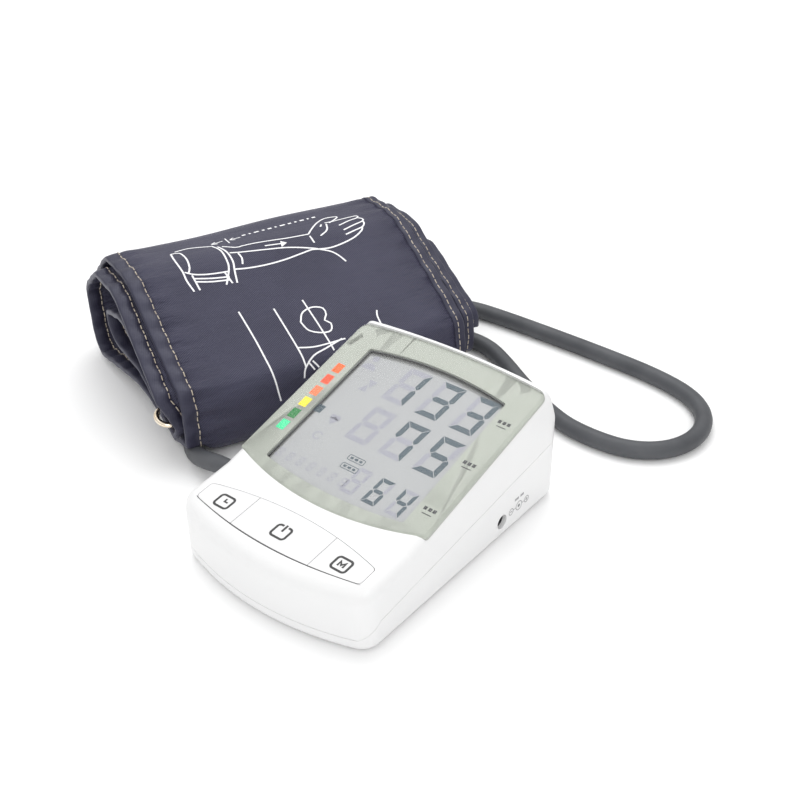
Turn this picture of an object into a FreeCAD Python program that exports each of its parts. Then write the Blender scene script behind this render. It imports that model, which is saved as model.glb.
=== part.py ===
import FreeCAD, Part
import math
import os
from FreeCAD import Placement, Rotation, Vector

# Upper arm blood pressure monitor with its cuff and hose, millimetres.
#
# Case frame: x across (0 on the centre plane), y from the front to the rear (0 at the display
# lens's front corners), z up from the table.  Everything is then moved by frame_x, frame_y, so
# that the origin is under the middle of the monitor and its cuff.

doc = FreeCAD.newDocument("blood_pressure_monitor")
sheet = doc.addObject("Spreadsheet::Sheet", "dims")

DIMENSIONS = [
    # the row frame
    ("frame_x", 89.75), ("frame_y", -85.4),
    # outline of the case, seen from above
    ("case_width", 110.0), ("front_mid", 49.3), ("front_corner", 38.6),
    ("rear_mid", 109.0), ("rear_corner", 105.0),
    ("corner_radius", 9.5), ("rear_corner_radius", 9.0),
    # heights and slopes
    ("foot_height", 1.2), ("lean_start", 35.0), ("lean_top", 72.0), ("rear_lean", 15.3),
    ("lens_corner_z", 40.1), ("display_slope", 15.15), ("deck_slope", 6.0), ("deck_break", 10.0),
    ("wall", 2.2), ("deck_edge_radius", 5.5), ("deck_front_radius", 9.0), ("base_radius", 4.0),
    # seam between the two case halves, as seen from the side
    ("seam_front_z", 8.0), ("seam_side_z", 19.7), ("seam_rise", 0.138), ("seam_gap", 0.24),
    ("seam_swoop_low", 40.5), ("seam_swoop_high", 31.0),
    # display
    ("lens_width", 109.6), ("lens_thick", 1.6), ("mask_thick", 1.2), ("lens_bulge", 10.0),
    ("lens_length", 94.6), ("lens_rear_bulge", 3.8), ("lens_bevel", 1.2),
    ("window_width", 81.0), ("window_front", 2.0), ("window_rear", 81.5), ("window_front_bulge", 3.6),
    ("window_rear_bulge", 4.6), ("window_corner", 1.5),
    ("lcd_drop", 3.6), ("lcd_width", 86.0), ("lcd_length", 92.0), ("lcd_thick", 2.8), ("lcd_front", -3.5),
    ("holder_rim", 3.0), ("holder_thick", 3.0),
    ("board_drop", 11.5), ("board_width", 96.0), ("board_length", 86.0), ("board_thick", 1.6),
    # keys
    ("strip_half", 47.8), ("strip_front_mid", 40.7), ("strip_front_end", 35.0),
    ("strip_rear_mid", 18.8), ("strip_rear_end", 25.3), ("key_split", 22.5), ("key_gap", 0.3),
    ("key_cap_thick", 2.6), ("key_travel", 0.8), ("stem_radius", 2.4), ("stem_length", 4.0),
    ("switch_side", 6.0), ("switch_thick", 3.4), ("key_board_width", 92.0), ("key_board_depth", 13.0),
    # power
    ("cell_radius", 7.1), ("cell_length", 50.0), ("cell_pitch", 14.8), ("bay_centre_x", 8.0),
    ("bay_front", 43.0), ("bay_wall", 1.5), ("door_thick", 1.8), ("door_gap", 0.35), ("door_front", 38.0),
    ("door_width", 67.0), ("bay_roof", 19.4),
    ("jack_y", 58.0), ("jack_z", 10.9), ("jack_hole_radius", 3.7), ("jack_bore_radius", 2.75),
    ("jack_pin_radius", 1.05), ("jack_length", 11.5), ("jack_side", 9.0),
    # air path
    ("socket_y", 9.0), ("socket_z", 11.4), ("socket_radius", 6.0), ("socket_bore", 3.0),
    ("socket_length", 17.0), ("plug_spigot_radius", 2.92), ("plug_spigot_length", 12.0),
    ("plug_radius", 6.6), ("plug_length", 16.0), ("plug_gap", 0.4),
    ("pump_x", -39.2), ("pump_z", 19.0), ("pump_front", 30.0), ("pump_side", 25.0),
    ("pump_head_length", 26.0), ("motor_radius", 12.0), ("motor_length", 28.0),
    ("tube_radius", 2.2), ("tube_bore", 1.2),
    # hose
    ("hose_radius", 4.75), ("hose_bore", 2.0),
    # cuff
    ("cuff_x", -105.3), ("cuff_y", 19.5), ("cuff_turn", 67.0),
    ("outer_turn_left", -9.5), ("outer_turn_right", 153.5), ("bladder_inset", 12.0),
    ("fabric_thick", 1.2), ("bladder_thick", 1.2), ("layer_gap", 0.2),
    ("inner_turn_left", -19.0), ("inner_turn_right", 163.0), ("inner_turn_thick", 3.0),
    ("flap_left", -16.0), ("flap_right", 171.0), ("flap_thick", 2.4),
    ("hook_inset", 24.0), ("hook_thick", 0.9),
]

for row, (alias, number) in enumerate(DIMENSIONS, start=1):
    sheet.set("A%d" % row, alias)
    sheet.set("B%d" % row, str(number))
    sheet.setAlias("B%d" % row, alias)
doc.recompute()


def size(alias):
    """A driving dimension, read from the sheet."""
    return float(sheet.get(alias))


# ---------------------------------------------------------------- outlines and solids

def arc_circle(half_chord, mid_y, end_y):
    """Centre y and radius of the circle through (0, mid_y) and (+-half_chord, end_y)."""
    rise = abs(mid_y - end_y)
    radius = (half_chord ** 2 + rise ** 2) / (2 * rise)
    side = 1 if mid_y < end_y else -1
    return mid_y + side * radius, radius


def corner_arc(half_width, centre_y, radius, corner, side):
    """Corner between the side x = half_width and a big end circle.

    Gives the tangent point on the side, the middle of the arc and the tangent point on the
    end circle.  side is -1 for the front end and 1 for the rear end.
    """
    cx = half_width - corner
    cy = centre_y + side * math.sqrt((radius - corner) ** 2 - cx ** 2)
    to_end = Vector(cx, cy - centre_y, 0).normalize()
    centre = Vector(cx, cy, 0)
    on_end = centre + to_end * corner
    middle = centre + (Vector(1, 0, 0) + to_end).normalize() * corner
    return Vector(half_width, cy, 0), middle, on_end


def mirrored(point):
    return Vector(-point.x, point.y, point.z)


def outline(half_width, front, rear, corners, level=0.0):
    """Closed outline with straight sides, bulging ends and rounded corners.

    front and rear are (mid y, corner y); corners is (front radius, rear radius).
    """
    front_y, front_r = arc_circle(half_width, front[0], front[1])
    rear_y, rear_r = arc_circle(half_width, rear[0], rear[1])
    f1, f2, f3 = corner_arc(half_width, front_y, front_r, corners[0], -1)
    r1, r2, r3 = corner_arc(half_width, rear_y, rear_r, corners[1], 1)
    lift = Vector(0, 0, level)
    front_tip, rear_tip = Vector(0, front[0], 0), Vector(0, rear[0], 0)
    return [
        Part.LineSegment(f1 + lift, r1 + lift),
        Part.Arc(r1 + lift, r2 + lift, r3 + lift),
        Part.Arc(r3 + lift, rear_tip + lift, mirrored(r3) + lift),
        Part.Arc(mirrored(r3) + lift, mirrored(r2) + lift, mirrored(r1) + lift),
        Part.LineSegment(mirrored(r1) + lift, mirrored(f1) + lift),
        Part.Arc(mirrored(f1) + lift, mirrored(f2) + lift, mirrored(f3) + lift),
        Part.Arc(mirrored(f3) + lift, front_tip + lift, f3 + lift),
        Part.Arc(f3 + lift, f2 + lift, f1 + lift),
    ]


def wire_of(curves):
    return Part.Wire([curve.toShape() for curve in curves])


def prism(curves, height, direction=Vector(0, 0, 1)):
    return Part.Face(wire_of(curves)).extrude(direction * height)


def moved(shape, place):
    """A copy of a shape whose own geometry, not its placement, is moved."""
    return shape.transformed(place.toMatrix(), copy=True)


def side_prism(points, half_width=80.0):
    """A closed (y, z) polygon carried right across the case."""
    corners = [Vector(-half_width, y, z) for y, z in points]
    edge = Part.makePolygon(corners + corners[:1])
    return Part.Face(edge).extrude(Vector(2 * half_width, 0, 0))


def display_z(y, drop=0.0):
    """Height of the display plane above (x, y), drop measured square to the plane."""
    slope = math.radians(size("display_slope"))
    return size("lens_corner_z") + y * math.tan(slope) - drop / math.cos(slope)


def deck_z(y, drop=0.0):
    """Height of the key deck, which starts where the display plane ends."""
    slope = math.radians(size("deck_slope"))
    start = -size("deck_break")
    return display_z(start) + (y - start) * math.tan(slope) - drop / math.cos(slope)


def seam_z(y):
    return size("seam_side_z") + size("seam_rise") * y


def seam_line(offset=0.0):
    """The seam seen from the side, from in front of the case to behind it."""
    low, high = -size("seam_swoop_low"), -size("seam_swoop_high")
    return [(-80.0, size("seam_front_z") + offset), (low, size("seam_front_z") + offset),
            (high, seam_z(high) + offset), (130.0, seam_z(130.0) + offset)]


def above_seam(offset):
    return side_prism(seam_line(offset) + [(130.0, 120.0), (-80.0, 120.0)])


def below_seam(offset):
    return side_prism(seam_line(offset) + [(130.0, -20.0), (-80.0, -20.0)])


def case_solid(inset, top_drop):
    """The closed outer form of the case, drawn in by inset and lowered at the top by top_drop."""
    half = size("case_width") / 2 - inset
    front = (-size("front_mid") + inset, -size("front_corner") + inset)
    rear = (size("rear_mid") - inset, size("rear_corner") - inset)
    corners = (size("corner_radius") - inset, size("rear_corner_radius") - inset)
    bottom = size("foot_height") + inset
    height = size("lean_top") - bottom
    form = prism(outline(half, front, rear, corners, bottom), height)
    base = [edge for edge in form.Edges if edge.BoundBox.ZMax < bottom + 0.01]
    form = form.makeFillet(max(size("base_radius") - inset, 1.0), base)
    far_front = (front[0] - 200.0, front[1] - 200.0)
    lean = Vector(0, -size("rear_lean") / (size("lean_top") - size("lean_start")), 1)
    start = size("lean_start")
    leaning = prism(outline(half + 5.0, far_front, rear, corners, start), size("lean_top") + 10.0, lean)
    leaning.translate(lean * (-start))
    form = form.common(leaning)
    break_y = -size("deck_break")
    roof = side_prism([(-80.0, deck_z(-80.0, top_drop)), (break_y, deck_z(break_y, top_drop)),
                       (130.0, display_z(130.0, top_drop)), (130.0, 200.0), (-80.0, 200.0)])
    return form.cut(roof)


def top_z(y, drop=0.0):
    return deck_z(y, drop) if y < -size("deck_break") else display_z(y, drop)


def rounded_case(name, inset, top_drop):
    """case_solid with the edges round its key deck and its sides rounded."""
    form = doc.addObject("Part::Feature", name + "_form")
    form.Shape = case_solid(inset, top_drop)
    side_r = size("deck_edge_radius") - inset
    front_r = size("deck_front_radius") - inset
    rounding = []
    for number, edge in enumerate(form.Shape.Edges, start=1):
        first, last = [edge.valueAt(edge.ParameterRange[end]) for end in (0, 1)]
        middle = edge.valueAt(sum(edge.ParameterRange) / 2)
        if any(abs(point.z - top_z(point.y, top_drop)) > 0.02 for point in (first, middle, last)):
            continue
        on_side = abs(first.x - last.x) < 0.01
        if not on_side and middle.y > -size("deck_break") - 0.01:
            continue
        if abs(first.x + last.x) < 0.01:
            rounding.append((number, front_r, front_r))
        elif on_side:
            rounding.append((number, side_r, side_r))
        elif abs(first.x) < abs(last.x):
            rounding.append((number, front_r, side_r))
        else:
            rounding.append((number, side_r, front_r))
    rounded = doc.addObject("Part::Fillet", name)
    rounded.Base = form
    rounded.Edges = rounding
    doc.recompute()
    return rounded.Shape


# ---------------------------------------------------------------- document objects

subparts = []


def bound(text):
    """An expression whose aliases are looked up in the sheet."""
    for alias, _ in sorted(DIMENSIONS, key=lambda item: -len(item[0])):
        text = text.replace(alias, "\0%d\0" % [row[0] for row in DIMENSIONS].index(alias))
    for index, (alias, _) in enumerate(DIMENSIONS):
        text = text.replace("\0%d\0" % index, "dims." + alias)
    return text


def settle(item, label, at=("0", "0", "0"), turn_axis=None, turn="0"):
    """Give a sub-part its label and its place: at is in the case frame."""
    item.Label = label
    if turn_axis is not None:
        item.Placement = Placement(Vector(0, 0, 0), Rotation(turn_axis, 1.0))
        item.setExpression("Placement.Rotation.Angle", bound("(%s) * 1deg" % turn))
    item.setExpression("Placement.Base.x", bound("frame_x + (%s)" % at[0]))
    item.setExpression("Placement.Base.y", bound("frame_y + (%s)" % at[1]))
    item.setExpression("Placement.Base.z", bound("(%s) * 1" % at[2]))
    subparts.append(item)
    return item


def on_display(u, v, w):
    """Place of a point of the display frame: across, up the slope, out of the display plane."""
    return (u, "(%s) * cos(display_slope * 1deg) - (%s) * sin(display_slope * 1deg)" % (v, w),
            "lens_corner_z + (%s) * sin(display_slope * 1deg) + (%s) * cos(display_slope * 1deg)" % (v, w))


def box(label, length, width, height, at, turn="0"):
    item = doc.addObject("Part::Box", label)
    item.setExpression("Length", bound("(%s) * 1mm" % length))
    item.setExpression("Width", bound("(%s) * 1mm" % width))
    item.setExpression("Height", bound("(%s) * 1mm" % height))
    return settle(item, label, at, Vector(1, 0, 0), turn)


def rod(label, radius, length, at, axis=Vector(0, 0, 1)):
    """A cylinder along Z, X or Y from the point at."""
    item = doc.addObject("Part::Cylinder", label)
    item.setExpression("Radius", bound("(%s) * 1mm" % radius))
    item.setExpression("Height", bound("(%s) * 1mm" % length))
    if axis.x:
        return settle(item, label, at, Vector(0, 1, 0), "90")
    if axis.y:
        return settle(item, label, at, Vector(1, 0, 0), "-90")
    return settle(item, label, at)


def shaped(label, shape, at=("0", "0", "0"), turn_axis=None, turn="0"):
    """A sub-part whose form is made with Part's functions from sizes read from the sheet."""
    item = doc.addObject("Part::Feature", label)
    item.Shape = shape
    return settle(item, label, at, turn_axis, turn)


def plate_body(label, curves, thickness, at, turn, bevel=None):
    """A PartDesign plate: a sketched outline padded downward by a thickness from the sheet."""
    body = doc.addObject("PartDesign::Body", label)
    base = [plane for plane in body.Origin.OriginFeatures if plane.Role == "XY_Plane"][0]
    sketch = body.newObject("Sketcher::SketchObject", label + "_outline")
    sketch.AttachmentSupport = (base, [""])
    sketch.MapMode = "FlatFace"
    sketch.addGeometry(curves, False)
    pad = body.newObject("PartDesign::Pad", label + "_pad")
    pad.Profile = sketch
    pad.setExpression("Length", bound("(%s) * 1mm" % thickness))
    pad.Reversed = True
    doc.recompute()
    if bevel:
        names = []
        for number, edge in enumerate(pad.Shape.Edges, start=1):
            if abs(edge.BoundBox.ZMin) < 0.001 and edge.BoundBox.ZLength < 0.001:
                names.append("Edge%d" % number)
        chamfer = body.newObject("PartDesign::Chamfer", label + "_bevel")
        chamfer.Base = (pad, names)
        chamfer.setExpression("Size", bound("(%s) * 1mm" % bevel))
        body.Tip = chamfer
    return settle(body, label, at, Vector(1, 0, 0), turn)


# ---------------------------------------------------------------- case halves and keys

def upright(radius, x, y, low, high):
    return Part.makeCylinder(radius, high - low, Vector(x, y, low))


def box_between(low, high):
    corner = Vector(*low)
    return Part.makeBox(high[0] - low[0], high[1] - low[1], high[2] - low[2], corner)


def on_slope(shape, slope, origin):
    """Move a shape from a sloping frame into the case frame."""
    return moved(shape, Placement(origin, Rotation(Vector(1, 0, 0), slope)))


DISPLAY_ORIGIN = Vector(0, 0, size("lens_corner_z"))
DISPLAY_COS = math.cos(math.radians(size("display_slope")))


def lens_curves(grow=0.0):
    return outline(size("lens_width") / 2 + grow, (-size("lens_bulge") / DISPLAY_COS - grow, -grow),
                   (size("lens_length") + size("lens_rear_bulge") + grow, size("lens_length") + grow),
                   (1.8 + grow, 4.5 + grow))


def window_curves():
    front, rear = size("window_front"), size("window_rear")
    corner = size("window_corner")
    return outline(size("window_width") / 2, (front - size("window_front_bulge"), front),
                   (rear + size("window_rear_bulge"), rear), (corner, corner))


def strip_curves(grow=0.0):
    """Outline of the row of keys, seen from above."""
    half = size("strip_half") + grow
    front = [Vector(-half, -size("strip_front_end") - grow, 0),
             Vector(0, -size("strip_front_mid") - grow, 0),
             Vector(half, -size("strip_front_end") - grow, 0)]
    rear = [Vector(half, -size("strip_rear_end") + grow, 0),
            Vector(0, -size("strip_rear_mid") + grow, 0),
            Vector(-half, -size("strip_rear_end") + grow, 0)]
    return [Part.Arc(*front), Part.LineSegment(front[2], rear[0]), Part.Arc(*rear),
            Part.LineSegment(rear[2], front[0])]


def strip_prism(grow, low, high):
    """The row of keys as an upright prism with rounded ends."""
    form = prism(strip_curves(grow), high - low)
    ends = [edge for edge in form.Edges if edge.BoundBox.XLength < 0.01 and edge.BoundBox.YLength < 0.01]
    form = form.makeFillet(2.0 + grow, ends)
    return moved(form, Placement(Vector(0, 0, low), Rotation()))


SCREWS = [(-47.0, -20.0), (47.0, -20.0), (-47.0, 92.5), (47.0, 92.5)]
BOSS_RADIUS = 3.6
SCREW_SHANK = 1.4
SCREW_HEAD = 2.9
SCREW_HEAD_TOP = 4.0
LEDGE_TOP = 5.0

outer = rounded_case("case_outer", 0.0, 0.0)
inner = rounded_case("case_inner", size("wall"), size("lens_thick") + size("mask_thick") + 2.0)
walls = outer.cut(inner)


def bay_limits():
    """x and y limits of the cell bay's inside."""
    half = 2 * size("cell_pitch") + 0.4
    x = size("bay_centre_x")
    return x - half, x + half, size("bay_front"), size("bay_front") + size("cell_length") + 4.0


def top_case():
    gap = size("seam_gap") / 2
    form = walls.common(above_seam(gap))
    for x, y in SCREWS:
        boss = upright(BOSS_RADIUS, x, y, seam_z(y) + 0.3, size("lean_top")).common(outer)
        form = form.fuse(boss)
    seat_drop = size("lens_thick") + size("mask_thick") + 0.02
    seat = moved(prism(lens_curves(0.08), 30.0), Placement(Vector(0, 0, -seat_drop), Rotation()))
    form = form.cut(on_slope(seat, size("display_slope"), DISPLAY_ORIGIN))
    lcd = box_between((-size("lcd_width") / 2 - 0.4, size("lcd_front") - 0.4, -20.0),
                      (size("lcd_width") / 2 + 0.4, size("lcd_front") + size("lcd_length") + 0.4, 10.0))
    form = form.cut(on_slope(lcd, size("display_slope"), DISPLAY_ORIGIN))
    form = form.cut(strip_prism(size("key_gap"), 26.0, 60.0))
    for x, y in SCREWS:
        form = form.cut(upright(SCREW_SHANK + 0.02, x, y, 10.0, seam_z(y) + 9.0))
    return form.removeSplitter()


def door_slab(grow):
    """The flat slab that the battery door is cut from, and, grown, its recess."""
    x, half = size("bay_centre_x"), size("door_width") / 2 + grow
    return box_between((x - half, size("door_front") - grow, -5.0),
                       (x + half, 130.0, size("foot_height") + size("door_thick") + grow / 2))


def bottom_case():
    gap = size("seam_gap") / 2
    form = walls.common(below_seam(-gap))
    floor_z = size("foot_height") + size("wall")
    x0, x1, y0, y1 = bay_limits()
    wall = size("bay_wall")
    ledge = box_between((x0 - 5.0, y0 - 7.0, floor_z - 1.0), (x1 + 5.0, y1 + 4.0, LEDGE_TOP))
    bay = box_between((x0 - wall, y0 - wall, floor_z - 1.0), (x1 + wall, y1 + wall, size("bay_roof") + wall))
    form = form.fuse([ledge, bay])
    for x, y in SCREWS:
        form = form.fuse(upright(BOSS_RADIUS, x, y, floor_z - 1.0, seam_z(y) - 0.3))
    form = form.cut(box_between((x0, y0, -5.0), (x1, y1, size("bay_roof"))))
    form = form.cut(door_slab(size("door_gap")))
    for x, y in SCREWS:
        form = form.cut(upright(SCREW_SHANK + 0.25, x, y, -1.0, 60.0))
        form = form.cut(upright(SCREW_HEAD + 0.25, x, y, -1.0, SCREW_HEAD_TOP))
    jack = Part.makeCylinder(size("jack_hole_radius"), 20.0,
                             Vector(46.0, size("jack_y"), size("jack_z")), Vector(1, 0, 0))
    air = Part.makeCylinder(size("socket_radius") + 0.1, 20.0,
                            Vector(-65.0, size("socket_y"), size("socket_z")), Vector(1, 0, 0))
    return form.cut([jack, air]).removeSplitter()


KEY_CENTRE_Y = -30.4


def key_shape(left, right):
    """One key: the cap that fills its part of the row, and the stem under it."""
    cap = strip_prism(0.0, 26.0, 60.0).common(outer)
    cap = cap.common(side_prism([(-60.0, deck_z(-60.0, size("key_cap_thick"))),
                                 (0.0, deck_z(0.0, size("key_cap_thick"))), (0.0, 80.0), (-60.0, 80.0)]))
    cap = cap.common(box_between((left, -60.0, 0.0), (right, 0.0, 80.0)))
    top = deck_z(KEY_CENTRE_Y, size("key_cap_thick") - 0.5)
    stem = upright(size("stem_radius"), (left + right) / 2, KEY_CENTRE_Y,
                   top - size("stem_length") - 0.5, top)
    return cap.fuse(stem).removeSplitter()


def case_screw_shape():
    """All four case screws: each a domed head in its counterbore and a shank into the top case."""
    screws = []
    for x, y in SCREWS:
        head = upright(SCREW_HEAD, x, y, SCREW_HEAD_TOP - 1.8, SCREW_HEAD_TOP)
        shank = upright(SCREW_SHANK, x, y, SCREW_HEAD_TOP - 0.2, seam_z(y) + 8.0)
        slot = box_between((x - 2.0, y - 0.35, 0.0), (x + 2.0, y + 0.35, SCREW_HEAD_TOP - 1.0))
        cross = box_between((x - 0.35, y - 2.0, 0.0), (x + 0.35, y + 2.0, SCREW_HEAD_TOP - 1.0))
        screws.append(head.fuse(shank).cut([slot, cross]))
    return Part.makeCompound(screws)


def make_case():
    shaped("top_case", top_case())
    shaped("bottom_case", bottom_case())
    door = door_slab(0.0).common(outer)
    x = size("bay_centre_x")
    for row in range(5):
        y = size("door_front") + 5.0 + 2.4 * row
        door = door.cut(box_between((x - 9.0, y, 0.0), (x + 9.0, y + 1.0, size("foot_height") + 0.5)))
    shaped("battery_door", door)
    shaped("case_screws", case_screw_shape())
    feet = {"front_left": (-38.0, -33.5), "front_right": (38.0, -33.5),
            "rear_left": (-46.6, 77.0), "rear_right": (46.6, 77.0)}
    for place, (foot_x, foot_y) in feet.items():
        rod("foot_" + place, "3.8", "foot_height", (str(foot_x), str(foot_y), "0"))
    slope = "display_slope"
    plate_body("display_lens", lens_curves(), "lens_thick", on_display("0", "0", "0"), slope, "lens_bevel")
    border = lens_curves() + window_curves()
    plate_body("display_mask", border, "mask_thick", on_display("0", "0", "-lens_thick"), slope)


def make_keys():
    split, gap, half = size("key_split"), size("key_gap") / 2, size("strip_half")
    top = deck_z(KEY_CENTRE_Y, size("key_cap_thick")) - size("stem_length") - size("key_travel") - 0.15
    spans = {"clock": (-half, -split - gap), "power": (-split + gap, split - gap), "memory": (split + gap, half)}
    for name, (left, right) in spans.items():
        shaped("button_" + name, key_shape(left, right))
        box("switch_" + name, "switch_side", "switch_side", "switch_thick",
            ("%.3f - switch_side / 2" % ((left + right) / 2), "%.3f - switch_side / 2" % KEY_CENTRE_Y,
             "%.3f - switch_thick" % top))
    board_z = "%.3f - switch_thick - 1.2" % top
    box("key_board", "key_board_width", "key_board_depth", "1.2",
        ("-key_board_width / 2", "-37.5", board_z))


# ---------------------------------------------------------------- display and boards

def make_display():
    slope = "display_slope"
    box("lcd_panel", "lcd_width", "lcd_length", "lcd_thick",
        on_display("-lcd_width / 2", "lcd_front", "-lcd_drop - lcd_thick"), slope)
    rim = size("holder_rim")
    wide, long_ = size("lcd_width") + 2.0, size("lcd_length") + 2.0
    frame = Part.makeBox(wide, long_, size("holder_thick"))
    hole = Part.makeBox(wide - 2 * rim, long_ - 2 * rim, 10.0, Vector(rim, rim, -1.0))
    shaped("lcd_holder", frame.cut(hole),
           on_display("-lcd_width / 2 - 1", "lcd_front - 1", "-lcd_drop - lcd_thick - holder_thick"),
           Vector(1, 0, 0), slope)
    depth = "-board_drop"
    box("lcd_connector", "70", "2.4", "board_drop - lcd_drop - lcd_thick",
        on_display("-35", "1.5", depth), slope)
    box("main_board", "board_width", "board_length", "board_thick",
        on_display("-board_width / 2", "-2", "-board_drop - board_thick"), slope)
    under = "-board_drop - board_thick - "
    box("controller_chip", "12", "12", "1.6", on_display("6", "30", under + "1.6"), slope)
    box("memory_chip", "5", "4", "1.4", on_display("24", "34", under + "1.4"), slope)
    box("pressure_sensor", "10", "7", "5.5", on_display("-31.5", "-1.5", under + "5.5"), slope)
    buzzer = Part.makeCylinder(6.0, 4.5)
    buzzer = buzzer.cut(Part.makeCylinder(1.0, 1.0, Vector(0, 0, 0)))
    shaped("buzzer", buzzer, on_display("34", "14", under + "4.5"), Vector(1, 0, 0), slope)


# ---------------------------------------------------------------- power

def make_power():
    x0, x1, y0, y1 = bay_limits()
    centre_z = LEDGE_TOP - 0.4 + size("cell_radius")
    start = y0 + 2.4
    springs, plates = [], []
    for cell in range(4):
        x = size("bay_centre_x") + (cell - 1.5) * size("cell_pitch")
        body = Part.makeCylinder(size("cell_radius"), size("cell_length") - 1.0, Vector(x, start, centre_z),
                                 Vector(0, 1, 0))
        nub = Part.makeCylinder(2.6, 1.0, Vector(x, start + size("cell_length") - 1.0, centre_z), Vector(0, 1, 0))
        shaped("cell_%d" % (cell + 1), body.fuse(nub))
        springs.append(Part.makeCone(5.0, 3.0, 1.6, Vector(x, y0 + 0.6, centre_z), Vector(0, 1, 0)))
        plates.append(box_between((x - 5.5, y0 + 0.05, centre_z - 5.0), (x + 5.5, y0 + 0.55, centre_z + 5.0)))
    shaped("contact_springs", Part.makeCompound(springs))
    shaped("front_contacts", Part.makeCompound(plates))
    rear = [box_between((x0 + 1.0 + pair * 2 * size("cell_pitch"), y1 - 0.6, centre_z - 5.0),
                        (x0 + 27.0 + pair * 2 * size("cell_pitch"), y1 - 0.1, centre_z + 5.0))
            for pair in range(2)]
    shaped("rear_contacts", Part.makeCompound(rear))
    side, long_ = size("jack_side"), size("jack_length")
    outer_x = size("case_width") / 2 - size("wall") - 0.05
    y, z = size("jack_y"), size("jack_z")
    block = box_between((outer_x - long_, y - side / 2, z - side / 2), (outer_x, y + side / 2, z + side / 2))
    bore = Part.makeCylinder(size("jack_bore_radius"), 9.5, Vector(outer_x - 9.5, y, z), Vector(1, 0, 0))
    shaped("dc_jack", block.cut(bore))
    rod("dc_jack_pin", "jack_pin_radius", "9", ("%.3f" % (outer_x - 9.5), "jack_y", "jack_z"), Vector(1, 0, 0))


# ---------------------------------------------------------------- air path

def leg_arcs(points, share=0.45):
    """Straight runs joined by tangent arcs: each arc's radius is set by the shorter run beside it."""
    curves, radii = [], []
    start = points[0]
    for before, corner, after in zip(points, points[1:], points[2:]):
        into, out = corner - before, after - corner
        reach = share * min(into.Length, out.Length)
        turn = into.getAngle(out)
        radii.append(reach / math.tan(turn / 2))
        first = corner - into.normalize() * reach
        last = corner + out.normalize() * reach
        chord = (first + last) * 0.5
        depth = radii[-1] / math.cos(turn / 2) - radii[-1]
        middle = corner + (chord - corner).normalize() * depth
        curves.append(Part.LineSegment(start, first))
        curves.append(Part.Arc(first, middle, last))
        start = last
    curves.append(Part.LineSegment(start, points[-1]))
    return curves, radii


def tube_along(points, radius, bore, name):
    """A round tube along a rounded route."""
    curves, radii = leg_arcs(points)
    path = wire_of(curves)
    heading = points[1] - points[0]
    rings = [Part.Wire(Part.makeCircle(r, points[0], heading)) for r in (radius, bore)]
    body = path.makePipeShell([rings[0]], True, False)
    core = path.makePipeShell([rings[1]], True, False)
    tube = body.cut(core)
    section = math.pi * (radius ** 2 - bore ** 2)
    print("%s: length %.1f, volume ratio %.4f, tightest bend %.1f"
          % (name, path.Length, tube.Volume / (section * path.Length), min(radii)))
    print("   radii", ["%.1f" % value for value in radii])
    return tube


def make_air_path():
    y, z, x = size("socket_y"), size("socket_z"), -size("case_width") / 2
    length = size("socket_length")
    socket = Part.makeCylinder(size("socket_radius"), length, Vector(x + 0.3, y, z), Vector(1, 0, 0))
    flange = Part.makeCylinder(size("socket_radius") + 1.0, 1.6, Vector(x + size("wall") + 0.3, y, z),
                               Vector(1, 0, 0))
    bore = Part.makeCylinder(size("socket_bore"), length, Vector(x, y, z), Vector(1, 0, 0))
    throat = Part.makeCylinder(size("tube_bore"), length + 10.0, Vector(x, y, z), Vector(1, 0, 0))
    shaped("air_socket", socket.fuse(flange).cut([bore, throat]))
    inner_x = x + 0.3 + length
    tube_r, tube_b = size("tube_radius"), size("tube_bore")
    block_x = inner_x + 6.0
    shaped("tube_socket", pierced_rod(tube_r, tube_b, Vector(inner_x, y, z), Vector(1, 0, 0), 6.0))
    manifold = box_between((block_x, y - 7.0, z - 5.0), (block_x + 10.0, y + 7.0, z + 5.0))
    through = Part.makeCylinder(tube_b, 10.0, Vector(block_x, y, z), Vector(1, 0, 0))
    ups = [upright(tube_b, block_x + 5.0, y + dy, z, z + 5.0) for dy in (-3.6, 3.6)]
    shaped("air_manifold", manifold.cut([through] + ups))
    valve_x = block_x + 16.0
    shaped("tube_valve", pierced_rod(tube_r, tube_b, Vector(block_x + 10.0, y, z), Vector(1, 0, 0), 6.0))
    valve = box_between((valve_x, y - 6.0, z - 6.0), (valve_x + 20.0, y + 6.0, z + 6.0))
    coil = Part.makeCylinder(4.0, 3.0, Vector(valve_x + 20.0, y, z), Vector(1, 0, 0))
    shaped("release_valve", valve.fuse(coil))
    shaped("tube_sensor", pierced_rod(tube_r, tube_b, Vector(block_x + 5.0, y - 3.6, z + 5.0),
                                       Vector(0, 0, 1), 5.0))
    pump_x, pump_z, front = size("pump_x"), size("pump_z"), size("pump_front")
    shaped("pump_motor", Part.makeCylinder(size("motor_radius"), size("motor_length"),
                                           Vector(pump_x, front, pump_z), Vector(0, 1, 0)))
    side, head_y = size("pump_side"), front + size("motor_length")
    head = box_between((pump_x - side / 2, head_y, pump_z - side / 2),
                       (pump_x + side / 2, head_y + size("pump_head_length"), pump_z + side / 2))
    edges = [edge for edge in head.Edges if edge.BoundBox.YLength > 1.0]
    head = head.makeFillet(3.0, edges)
    outlet = upright(tube_b, pump_x, head_y + 12.0, pump_z, pump_z + 20.0)
    shaped("air_pump", head.cut(outlet))
    route = [Vector(block_x + 5.0, y + 3.6, z + 5.0), Vector(block_x + 5.0, y + 3.6, z + 12.0),
             Vector(pump_x + 11.2, front - 6.0, pump_z + 10.4), Vector(pump_x + 8.7, front + 16.0, pump_z + 13.2),
             Vector(pump_x + 3.2, head_y + 4.0, pump_z + 19.5), Vector(pump_x, head_y + 12.0, pump_z + 19.0),
             Vector(pump_x, head_y + 12.0, pump_z + side / 2)]
    shaped("tube_pump", tube_along(route, tube_r, tube_b, "pump tube"))


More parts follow.
